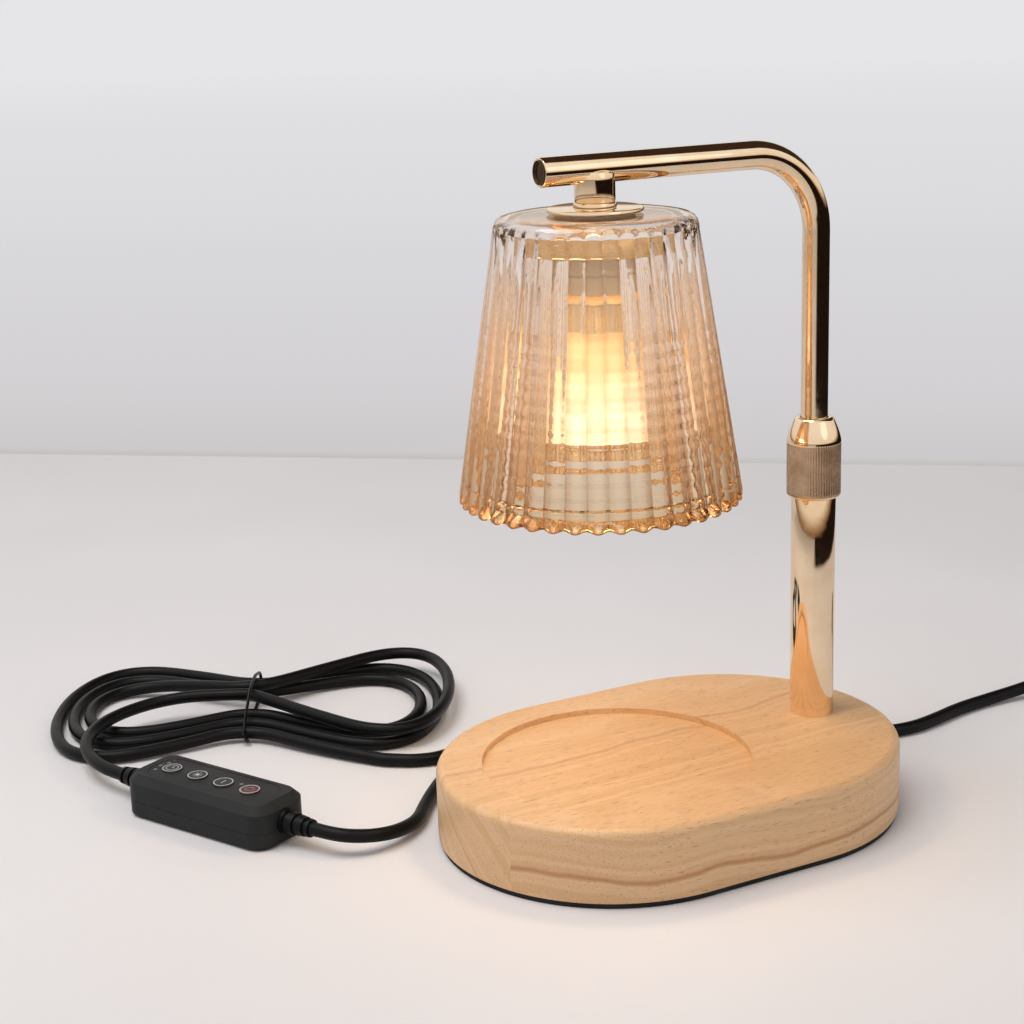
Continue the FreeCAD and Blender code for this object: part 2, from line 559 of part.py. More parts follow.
upper_shell = cut("switch_upper_shell", upper_outer, upper_room, panel_bed, *button_holes, *led_ways,
                  cord_hole("upper_hole_left", "-"), cord_hole("upper_hole_right", "0 +"))
lower_blank = round_block("switch_lower", "switch_long", "switch_wide", "switch_seam_z - 0.15", "0",
                          "switch_round")
lower_outer = rounded("switch_lower_soft", lower_blank, "1.5", level_at(0), "Part::Chamfer")
lower_room = round_block("switch_lower_room", "switch_long - 2 * switch_wall",
                         "switch_wide - 2 * switch_wall", "switch_seam_z", "switch_wall",
                         "switch_round - switch_wall")
screw_spots = ["switch_long / 2 - 12", "12 - switch_long / 2"]
screw_ways = [cylinder(f"screw_way_{at}", "1.25", "switch_wall + 2", along, "0", "0 - 0.5")
              for at, along in enumerate(screw_spots)]
lower_shell = cut("switch_lower_shell", lower_outer, lower_room, *screw_ways,
                  cord_hole("lower_hole_left", "-"), cord_hole("lower_hole_right", "0 +"))
panel_blank = round_block("panel_sheet", "panel_long - 0.4", "panel_wide - 0.4", "panel_thick - 0.1",
                          "switch_high - panel_thick", "panel_wide / 2.6 - 0.2")
panel_holes = [cylinder(f"panel_hole_{at}", "button_rad + 0.15", "3", spot, "0", "switch_high - 2")
               for at, spot in enumerate(button_spots)]
panel_windows = [cylinder(f"panel_window_{at}", "led_rad + 0.1", "3", along, side, "switch_high - 2")
                 for at, (along, side) in enumerate(led_spots)]
panel = cut("switch_panel_shape", panel_blank, *panel_holes, *panel_windows)
buttons = {name: turned(name + "_turned", [
    ("0", "0"), ("button_rad", "0"), ("button_rad", "button_high - 0.3"), ("button_rad - 0.5", "button_high"),
    ("0", "button_high")], spot, "0", "switch_high + button_proud - button_high")
    for name, spot in zip(("button_timer", "button_brighter", "button_dimmer", "button_power"), button_spots)}
board_top = "(board_z + board_thick)"
circuit = box("circuit_blank", "switch_long - 2 * switch_wall - 8", "switch_wide - 2 * switch_wall - 2",
              "board_thick", "0", "0", "board_z")
domes = [cylinder(f"dome_{at}", "button_rad - 1", "dome_high", spot, "0", board_top)
         for at, spot in enumerate(button_spots)]
leds = [cylinder(f"led_{at}", "led_rad", f"switch_high - {board_top} - 0.1", along, side, board_top)
        for at, (along, side) in enumerate(led_spots)]
screws = [cylinder(f"shell_screw_{at}", "1.2", "switch_wall + 0.6", along, "0", "0.25")
          for at, along in enumerate(screw_spots)]
reliefs = {}
for label, sign, turn in (("relief_lamp_side", "0 +", 90), ("relief_plug_side", "-", -90)):
    reliefs[label] = relief(label + "_turned", "relief_rad", "relief_tip_rad", "relief_long", 3,
                            f"{sign} switch_long / 2", "0", "switch_high / 2")
    reliefs[label].Placement.Rotation = Rotation(Vector(0, 1, 0), turn)
switch_pieces = {
    "switch_top_shell": upper_shell, "switch_bottom_shell": lower_shell, "switch_panel": panel, **buttons,
    "circuit_board": circuit, "button_domes": fuse("button_domes_shape", *domes),
    "indicator_leds": fuse("indicator_leds_shape", *leds), **reliefs,
    "shell_screws": fuse("shell_screws_shape", *screws)}
doc.recompute()
for label, piece in switch_pieces.items():
    piece.Label = label + "_unlaid"
    laid = doc.addObject("Part::Feature", label)
    laid.Shape = piece.Shape
    laid.Placement = switch_seat.multiply(piece.Placement)
    node(label, laid)


def switch_point(along, z):
    """A point over the switch's long axis, in the lamp's frame."""
    spot = switch_seat.multVec(Vector(along, 0, z))
    return (spot.x, spot.y, spot.z)


# Cord routes: the points of each free stretch, chosen by hand
relief_end = v.switch_long / 2 + v.relief_long
GLAND_END = (v.gland_x, gland_face_y + v.gland_out, v.gland_z)
SWITCH_LAMP_END = switch_point(relief_end, v.switch_high / 2)
SWITCH_PLUG_END = switch_point(-relief_end, v.switch_high / 2)
FLOOR = v.cord_floor_z
END_RUN = 9.5
ROUTE_LAMP = [
    GLAND_END, (55, 87.5, v.gland_z), (51, 98.2, 10), (43.1, 105.6, 7), (31, 109.2, 4.6), (14, 109.8, FLOOR),
    (-9, 108.6, FLOOR), (-32, 102.5, FLOOR), (-53, 89, FLOOR), (-71.5, 70.5, FLOOR), (-84.5, 55, FLOOR),
    (-93.3, 42.5, 3.6), (-105, 34.3, 5.2), (-116.2, 31.1, 7), (-126, 33, 8.3),
    switch_point(relief_end + END_RUN, v.switch_high / 2), SWITCH_LAMP_END]

# Hank: three turns of a loop drawn in at the tie, as reach and half width of each lobe
HANK_MIDDLE = Vector(-103.4, 200, 0)
HANK_TURN = math.radians(-27.6)
LOBES = ((93, 52, 2), (78, 25, 3), (79.5, 28, -3), (85, 31, 3), (88, 36, -4), (92, 38, 1),
         (98, 44, -5))
WAIST_HALF, LANE_STEP, LAYER_STEP, WAIST_LIFT = 3.6, 10.4, 6.6, 1.8
WAIST_LENGTH, LOBE_PEAK = 0.16, 0.409
HANK_START, HANK_END = -90, 1030
LAYER_DROP = (90, 150)
HANK_STEP = 30


def hank_point(degrees):
    """A point of the hank's centre line; a turn takes 360 degrees, and the tie is at odd quarters."""
    turn = math.radians(degrees)
    reach, half, skew = LOBES[min(int((degrees - HANK_START) // 180), len(LOBES) - 1)]
    share = abs(math.cos(turn))
    lane = WAIST_HALF + LANE_STEP * max(0, degrees - 90) / 360
    along = reach * math.cos(turn)
    bulge = half / LOBE_PEAK * share ** 2 / (share + WAIST_LENGTH)
    across = math.sin(turn) * (lane + bulge) + skew * share ** 2
    start, stop = LAYER_DROP
    fall = min(1, max(0, (degrees - start) / (stop - start)))
    layer = LAYER_STEP * (1 - fall * fall * (3 - 2 * fall))
    x = HANK_MIDDLE.x + along * math.cos(HANK_TURN) - across * math.sin(HANK_TURN)
    y = HANK_MIDDLE.y + along * math.sin(HANK_TURN) + across * math.cos(HANK_TURN)
    return Vector(x, y, FLOOR + WAIST_LIFT * (1 - share) ** 2 + layer)


STUB = 2 * v.cord_rad


def hank_way(degrees):
    """The direction in which the hank's centre line runs on at a point."""
    way = hank_point(degrees + 0.05) - hank_point(degrees - 0.05)
    return way.normalize()


# Plug: where the last stretch ends
PLUG_SEAT = Placement(Vector(241, 15, v.plug_high / 2), Rotation(Vector(0, 0, 1), -19.6))


def plug_point(along):
    """A point on the plug's long axis, in the lamp's frame."""
    spot = PLUG_SEAT.multVec(Vector(along, 0, 0))
    return (spot.x, spot.y, spot.z)


hank_in = hank_point(HANK_START) - hank_way(HANK_START) * STUB
hank_out = hank_point(HANK_END) + hank_way(HANK_END) * STUB
ROUTE_SWITCH_TO_HANK = [
    SWITCH_PLUG_END, switch_point(-relief_end - END_RUN, v.switch_high / 2), (-191.8, 162, 9.6),
    (-190.6, 177.5, 9.8), (-184.5, 192, 9.8), (-174, 203.5, 9.8), (-160.5, 211.3, 9.8), (-145, 214, 10.3),
    tuple(hank_in - hank_way(HANK_START) * 22), tuple(hank_in)]
ROUTE_PLUG = [
    tuple(hank_out), tuple(hank_out + hank_way(HANK_END) * END_RUN), (-56.5, 98.6, FLOOR),
    (-45.5, 101.5, FLOOR), (-33, 108.5, FLOOR), (-17, 114, FLOOR), (-2, 117, FLOOR), (14, 118.3, FLOOR), (37, 117.5, FLOOR), (60, 113.5, FLOOR), (80, 103, FLOOR),
    (95, 86, FLOOR), (103, 66, FLOOR), (105, 48, FLOOR), (110, 32, FLOOR), (121, 20.5, FLOOR),
    (136, 16.5, FLOOR), (152, 19, FLOOR), (170, 23.8, FLOOR), (190, 25.8, FLOOR), (209, 24.8, 4.4),
    plug_point(-1.7 * END_RUN), plug_point(0)]

def rounded_path(name, points):
    """Straight runs joined by tangent arcs, each as large as its two runs allow."""
    spots = [Vector(*point) for point in points]
    edges, here, radii = [], spots[0], []
    for before, corner, after in zip(spots, spots[1:], spots[2:]):
        way_in, way_out = corner - before, after - corner
        turn = way_in.getAngle(way_out)
        leg = 0.45 * min(way_in.Length, way_out.Length)
        radii.append(leg / math.tan(turn / 2))
        way_in.normalize()
        way_out.normalize()
        start, stop = corner - way_in * leg, corner + way_out * leg
        inward = way_out - way_in
        inward.normalize()
        middle = corner + inward * radii[-1] * (1 / math.cos(turn / 2) - 1)
        edges += [Part.LineSegment(here, start).toShape(), Part.Arc(start, middle, stop).toShape()]
        here = stop
    edges.append(Part.LineSegment(here, spots[-1]).toShape())
    wire = Part.Wire(edges)
    print(f"{name}: length {wire.Length:.1f}, smallest radius {min(radii):.1f}")
    return wire


def tube_along(name, wire, radius):
    """A round tube along a wire; its volume has to be its section times its length."""
    first = wire.OrderedEdges[0]
    start = first.valueAt(first.FirstParameter)
    ring = Part.Wire([Part.makeCircle(radius, start, first.tangentAt(first.FirstParameter))])
    made = wire.makePipeShell([ring], True, False)
    wanted = math.pi * radius ** 2 * wire.Length
    share = made.Volume / wanted
    print(f"{name}: volume {share:.4f} of section times length")
    if abs(share - 1) > 0.01:
        raise ValueError(f"{name} isn't a clean tube")
    return made


def biarc(p0, t0, p1, t1):
    """Two tangent arcs from p0 to p1 that leave along t0 and arrive along t1."""
    gap, both = p1 - p0, t0 + t1
    bend = 2 * (1 - t0.dot(t1))
    if bend < 1e-9:
        pull = gap.dot(gap) / (4 * gap.dot(t1))
    else:
        pull = (math.sqrt(gap.dot(both) ** 2 + bend * gap.dot(gap)) - gap.dot(both)) / bend
    near, far = p0 + t0 * pull, p1 - t1 * pull
    joint = (near + far) * 0.5
    arcs = []
    for start, peak, stop in ((p0, near, joint), (joint, far, p1)):
        chord_middle = (start + stop) * 0.5
        half = (stop - start).Length / 2
        rise = peak - chord_middle
        if rise.Length < 1e-4 * half:
            arcs.append(Part.LineSegment(start, stop).toShape())
            continue
        height = half * math.tan(math.acos(min(1, half / pull)) / 2)
        rise.normalize()
        arcs.append(Part.Arc(start, chord_middle + rise * height, stop).toShape())
    return arcs


def hank_wire():
    """The hank's centre line: biarcs with a straight stub at each end."""
    steps = [HANK_START + HANK_STEP * at for at in range(int((HANK_END - HANK_START) // HANK_STEP) + 1)]
    if HANK_END - steps[-1] > 1:
        steps.append(HANK_END)
    spots = [hank_point(step) for step in steps]
    ways = [hank_way(step) for step in steps]
    edges = [Part.LineSegment(spots[0] - ways[0] * STUB, spots[0]).toShape()]
    for at in range(len(spots) - 1):
        edges += biarc(spots[at], ways[at], spots[at + 1], ways[at + 1])
    edges.append(Part.LineSegment(spots[-1], spots[-1] + ways[-1] * STUB).toShape())
    return Part.Wire(edges)


def least_gap(wire, spacing, radius):
    """The least distance between two stretches of a tube that are apart along it."""
    spots = wire.discretize(Distance=spacing)
    skip = int(8 * radius / spacing)
    least = 1e9
    for at, spot in enumerate(spots):
        for other in spots[at + skip:]:
            least = min(least, spot.distanceToPoint(other))
    return least - 2 * radius


node("cord_lamp_to_switch", solid("cord_lamp_shape", tube_along(
    "cord_lamp_to_switch", rounded_path("cord_lamp_to_switch", ROUTE_LAMP), v.cord_rad)))
node("cord_switch_to_hank", solid("cord_switch_shape", tube_along(
    "cord_switch_to_hank", rounded_path("cord_switch_to_hank", ROUTE_SWITCH_TO_HANK), v.cord_rad)))
node("cord_to_plug", solid("cord_plug_shape", tube_along(
    "cord_to_plug", rounded_path("cord_to_plug", ROUTE_PLUG), v.cord_rad)))
hank_line = hank_wire()
print(f"cord_hank: length {hank_line.Length:.1f}, least gap to itself "
      f"{least_gap(hank_line, 2.0, v.cord_rad):.2f}")
node("cord_hank", solid("cord_hank_shape", tube_along("cord_hank", hank_line, v.cord_rad)))

# Tie round the hank's waist, in a plane square to the hank
TIE_RING = [(-40, 3.4), (-34.6, 0.95), (-8, 0.95), (28.6, 0.95), (29.4, 8.4), (9, 15.6), (-9, 15.6),
            (-34.2, 8.8), (-35.8, 4.6), (-41.5, 4.9)]


def tie_point(across, z):
    return (HANK_MIDDLE.x - across * math.sin(HANK_TURN), HANK_MIDDLE.y + across * math.cos(HANK_TURN), z)


tie_spots = [tie_point(across, z) for across, z in TIE_RING]
TAIL_SHIFT = Vector(math.cos(HANK_TURN), math.sin(HANK_TURN), 0) * (v.tie_rad * 2.4)
for at in (0, 1):
    tie_spots[at] = tuple(Vector(*tie_spots[at]) + TAIL_SHIFT * (1 - 0.4 * at))
node("twist_tie", solid("twist_tie_shape", tube_along(
    "twist_tie", rounded_path("twist_tie", tie_spots), v.tie_rad)))

# Plug, built along X and then laid at the end of the cord
plug_blank = box("plug_blank", "plug_long", "plug_wide", "plug_high", "plug_relief + plug_long / 2", "0",
                 "0 - plug_high / 2")
plug_soft = rounded("plug_soft", plug_blank, "3", lambda edge: True, "Part::Chamfer")
blade_slots = [box(f"blade_slot_{side}", "4", "blade_thick", "blade_wide", "plug_relief + plug_long - 1.5",
                   f"{side} * blade_gap / 2", "0 - blade_wide / 2") for side in (1, -1)]
blades = [box(f"blade_{side}", "blade_long + 3", "blade_thick", "blade_wide",
              "plug_relief + plug_long + blade_long / 2 - 1.5", f"{side} * blade_gap / 2", "0 - blade_wide / 2")
          for side in (1, -1)]
plug_relief = relief("plug_relief_turned", "cord_rad + 2.6", "cord_rad + 1", "plug_relief", 4, "plug_relief")
plug_relief.Placement.Rotation = Rotation(Vector(0, 1, 0), -90)
plug_pieces = {"plug_body": cut("plug_body_shape", plug_soft, *blade_slots),
               "plug_blades": fuse("plug_blades_shape", *blades), "plug_strain_relief": plug_relief}
doc.recompute()
for label, piece in plug_pieces.items():
    piece.Label = label + "_unlaid"
    laid = doc.addObject("Part::Feature", label)
    laid.Shape = piece.Shape
    laid.Placement = PLUG_SEAT.multiply(piece.Placement)
    node(label, laid)

# Check every object, then write each piece
doc.recompute()
failed = [item.Label for item in doc.Objects if {"Invalid", "Error"} & set(item.State)]
for label, made in NODES.items():
    shape = made.Shape
    if shape.isNull() or not shape.isValid() or not shape.Solids:
        failed.append(label)
if failed:
    raise ValueError("these objects failed: " + ", ".join(failed))
for label, made in NODES.items():
    made.Shape.exportStep(f"parts/{label}.step")
print(f"{len(NODES)} pieces written")
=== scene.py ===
"""Table lamp with a fluted glass shade on a bent gold arm, a wooden base with a recess, and a
tied hank of cord with an inline switch. Lengths are written in millimetres and turned to metres."""
import bpy
import math
from mathutils import Matrix, Vector


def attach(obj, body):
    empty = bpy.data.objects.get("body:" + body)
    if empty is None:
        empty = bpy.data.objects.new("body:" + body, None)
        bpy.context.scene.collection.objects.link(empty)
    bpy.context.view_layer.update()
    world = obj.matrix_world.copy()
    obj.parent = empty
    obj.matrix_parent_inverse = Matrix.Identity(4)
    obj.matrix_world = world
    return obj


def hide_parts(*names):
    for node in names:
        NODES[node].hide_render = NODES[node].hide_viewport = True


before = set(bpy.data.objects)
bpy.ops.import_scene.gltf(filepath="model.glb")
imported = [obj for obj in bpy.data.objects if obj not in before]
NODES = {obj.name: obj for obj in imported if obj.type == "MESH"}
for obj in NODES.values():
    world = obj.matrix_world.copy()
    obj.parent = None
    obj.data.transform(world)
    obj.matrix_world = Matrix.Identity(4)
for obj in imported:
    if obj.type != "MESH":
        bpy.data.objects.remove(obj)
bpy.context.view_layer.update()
MM = 0.001


def mm(*numbers):
    return Vector([number * MM for number in numbers])


# Camera, at the photograph's viewing angle
lens_spot = mm(-396.3, -626.2, 332.0)
RIGHT, UP = Vector((0.8815, -0.4712, -0.0307)), Vector((0.1507, 0.2191, 0.9640))
BACK = Vector((-0.4475, -0.8544, 0.2642))
camera = bpy.data.objects.new("camera", bpy.data.cameras.new("camera"))
bpy.context.collection.objects.link(camera)
camera.data.lens, camera.data.sensor_width = 69.17, 36
camera.rotation_mode = "QUATERNION"
camera.location = lens_spot
camera.rotation_quaternion = Matrix((RIGHT, UP, BACK)).transposed().to_quaternion()
bpy.context.scene.camera = camera
bpy.context.scene.view_settings.view_transform = "Standard"

# Places and sizes in mm: the post and the shade, the arm, and the shade's rim and shoulder
POST_X, SHADE_X = 70, -30
AXIS_Z, BEND, ARM_RAD, ARM_FOOT_Z, ARM_TIP_X = 262.4, 31, 5.4, 76, -53
RIM_RAD, SHOULDER_RAD = 54, 38
RIM_Z, SHOULDER_Z, TOP_Z = 139.6, 241.0, 246.0
CORD_RAD = 2.8

# Cords. The switch lies beside the base, turned about Z
SWITCH_AT, SWITCH_TURN = (-161, 93), math.radians(-63.2)
RELIEF_END, SWITCH_MIDDLE_Z, END_RUN, FLOOR = 52.3, 9.2, 9.5, 2.9


def over_switch(along, across, z):
    """A point given along and across the switch, in the lamp's frame."""
    c, s = math.cos(SWITCH_TURN), math.sin(SWITCH_TURN)
    return (SWITCH_AT[0] + along * c - across * s, SWITCH_AT[1] + along * s + across * c, z)


LAMP_ROUTE = [
    (55, 77.156, 12), (55, 87.5, 12), (51, 98.2, 10), (43.1, 105.6, 7), (31, 109.2, 4.6), (14, 109.8, FLOOR),
    (-9, 108.6, FLOOR), (-32, 102.5, FLOOR), (-53, 89, FLOOR), (-71.5, 70.5, FLOOR), (-84.5, 55, FLOOR),
    (-93.3, 42.5, 3.6), (-105, 34.3, 5.2), (-116.2, 31.1, 7), (-126, 33, 8.3),
    over_switch(RELIEF_END + END_RUN, 0, SWITCH_MIDDLE_Z), over_switch(RELIEF_END, 0, SWITCH_MIDDLE_Z)]

# Hank: three turns of a loop drawn in at the tie, as reach, half width and skew of each lobe
HANK_MIDDLE, HANK_TURN = (-103.4, 200), math.radians(-27.6)
LOBES = ((93, 52, 2), (78, 25, 3), (79.5, 28, -3), (85, 31, 3), (88, 36, -4), (92, 38, 1), (98, 44, -5))
LOBE_SOFTNESS, LOBE_PEAK = 0.16, 0.409
WAIST_HALF, LANE_STEP, LAYER_STEP, WAIST_LIFT = 3.6, 10.4, 6.6, 1.8
HANK_START, HANK_END, LAYER_DROP, HANK_STEP = -90, 1030, (90, 150), 20
HANK_LEAD, HANK_RUN_IN = 5.6, 22


def hank_point(degrees):
    """A point of the hank's centre line; a turn takes 360 degrees, and the tie is at odd quarters."""
    turn = math.radians(degrees)
    reach, half, skew = LOBES[min(int((degrees - HANK_START) // 180), len(LOBES) - 1)]
    share = abs(math.cos(turn))
    lane = WAIST_HALF + LANE_STEP * max(0, degrees - 90) / 360
    along = reach * math.cos(turn)
    swell = half / LOBE_PEAK * share ** 2 / (share + LOBE_SOFTNESS)
    across = math.sin(turn) * (lane + swell) + skew * share ** 2
    fall = min(1, max(0, (degrees - LAYER_DROP[0]) / (LAYER_DROP[1] - LAYER_DROP[0])))
    layer = LAYER_STEP * (1 - fall * fall * (3 - 2 * fall))
    x = HANK_MIDDLE[0] + along * math.cos(HANK_TURN) - across * math.sin(HANK_TURN)
    y = HANK_MIDDLE[1] + along * math.sin(HANK_TURN) + across * math.cos(HANK_TURN)
    return Vector((x, y, FLOOR + WAIST_LIFT * (1 - share) ** 2 + layer))


def hank_way(degrees):
    return (hank_point(degrees + 0.05) - hank_point(degrees - 0.05)).normalized()


hank_in = hank_point(HANK_START) - hank_way(HANK_START) * HANK_LEAD
hank_out = hank_point(HANK_END) + hank_way(HANK_END) * HANK_LEAD
PLUG_AT, PLUG_TURN, PLUG_Z = (241, 15), math.radians(-19.6), 8.5


def behind_plug(along):
    return (PLUG_AT[0] + along * math.cos(PLUG_TURN), PLUG_AT[1] + along * math.sin(PLUG_TURN), PLUG_Z)


HANK_ROUTE = [
    over_switch(-RELIEF_END, 0, SWITCH_MIDDLE_Z), over_switch(-RELIEF_END - END_RUN, 0, SWITCH_MIDDLE_Z),
    (-191.8, 162, 9.6), (-190.6, 177.5, 9.8), (-184.5, 192, 9.8), (-174, 203.5, 9.8), (-160.5, 211.3, 9.8),
    (-145, 214, 10.3), tuple(hank_in - hank_way(HANK_START) * HANK_RUN_IN), tuple(hank_in)]
HANK_ROUTE += [tuple(hank_point(at)) for at in range(HANK_START, HANK_END + 1, HANK_STEP)]
HANK_ROUTE += [
    tuple(hank_out), tuple(hank_out + hank_way(HANK_END) * END_RUN), (-56.5, 98.6, FLOOR),
    (-45.5, 101.5, FLOOR), (-33, 108.5, FLOOR), (-17, 114, FLOOR), (-2, 117, FLOOR), (14, 118.3, FLOOR),
    (37, 117.5, FLOOR), (60, 113.5, FLOOR), (80, 103, FLOOR), (95, 86, FLOOR), (103, 66, FLOOR),
    (105, 48, FLOOR), (110, 32, FLOOR), (121, 20.5, FLOOR), (136, 16.5, FLOOR), (152, 19, FLOOR),
    (170, 23.8, FLOOR), (190, 25.8, FLOOR), (209, 24.8, 4.4), behind_plug(-1.7 * END_RUN), behind_plug(0)]


def lay_cord(name, route, radius, sides=5):
    """A round cord along a smooth spline whose control points are the route's."""
    curve = bpy.data.curves.new(name, "CURVE")
    curve.dimensions = "3D"
    spline = curve.splines.new("NURBS")
    spline.points.add(len(route) - 1)
    for point, spot in zip(spline.points, route):
        point.co = (*mm(*spot), 1)
    spline.order_u = 3
    spline.use_endpoint_u = True
    curve.resolution_u = 10
    curve.bevel_depth, curve.bevel_resolution, curve.use_fill_caps = radius * MM, sides, True
    cord = bpy.data.objects.new(name, curve)
    bpy.context.collection.objects.link(cord)
    return cord


lamp_cord = lay_cord("lamp_cord", LAMP_ROUTE, CORD_RAD)
hank_cord = lay_cord("hank_cord", HANK_ROUTE, CORD_RAD)

# Wire tie round the hank's waist, in a plane square to the hank
TIE_RING = [(-41, 3.2), (-38.6, 1.4), (-34.8, 0.95), (-28, 0.9), (-8, 0.9), (10, 0.9), (24, 0.9), (28.6, 1.2),
            (30, 3.6), (29.6, 8.4), (26.5, 11.2), (14, 14.6), (9, 15.5), (3, 15.8), (-5, 15.8), (-11, 15.2),
            (-29, 10.6), (-34.2, 8.4), (-37.4, 5.4), (-41.5, 5.2)]


def tie_point(across, z, along=0):
    c, s = math.cos(HANK_TURN), math.sin(HANK_TURN)
    return (HANK_MIDDLE[0] - across * s + along * c, HANK_MIDDLE[1] + across * c + along * s, z)


tie_route = [tie_point(across, z, 1.8 if at < 2 else 0) for at, (across, z) in enumerate(TIE_RING)]
wire_tie = lay_cord("wire_tie", tie_route, 0.75, 2)


# Materials
def hex_colour(text):
    """An sRGB hex colour as linear red, green, blue and alpha."""
    parts = [int(text[at:at + 2], 16) / 255 for at in (1, 3, 5)]
    linear = [part / 12.92 if part <= 0.04045 else ((part + 0.055) / 1.055) ** 2.4 for part in parts]
    return (*linear, 1)


def add(tree, kind, settings=None, links=None):
    """A node with its settings and links. A setting is an attribute, a socket by name or number, or a
    ramp's stops as pairs of place and hex colour. Sockets 1 to 4 of a range are its low and high ends before
    and after; a colour mix has its share in socket 0 and its two colours in 6 and 7."""
    made = tree.nodes.new(kind)
    for key, value in (settings or {}).items():
        if key == "stops":
            band = made.color_ramp.elements
            band[0].position, band[1].position = value[0][0], value[-1][0]
            for place, _ in value[1:-1]:
                band.new(place)
            for element, (_, colour) in zip(band, value):
                element.color = hex_colour(colour)
        elif isinstance(key, str) and hasattr(made, key):
            setattr(made, key, value)
        else:
            made.inputs[key].default_value = value
    for key, source in (links or {}).items():
        tree.links.new(source, made.inputs[key])
    return made


def finish(name, **sockets):
    """A new material: its tree, its shader and its object coordinates in millimetres."""
    material = bpy.data.materials.new(name)
    material.use_nodes = True
    tree = material.node_tree
    shader = tree.nodes["Principled BSDF"]
    for key, value in sockets.items():
        shader.inputs[key.replace("_", " ")].default_value = value
    place = add(tree, "ShaderNodeTexCoord")
    scaled = add(tree, "ShaderNodeMapping", {"Scale": (1000, 1000, 1000)}, {0: place.outputs["Object"]})
    return material, tree, shader, scaled.outputs[0]


# The staves' glue joint as y, each stave's pith as y and z, rear first, and the ring of the russet line
STAVE_JOINT, PITHS, RUSSET_RING = -30.8, ((78, -70), (-52, -128)), 147.0


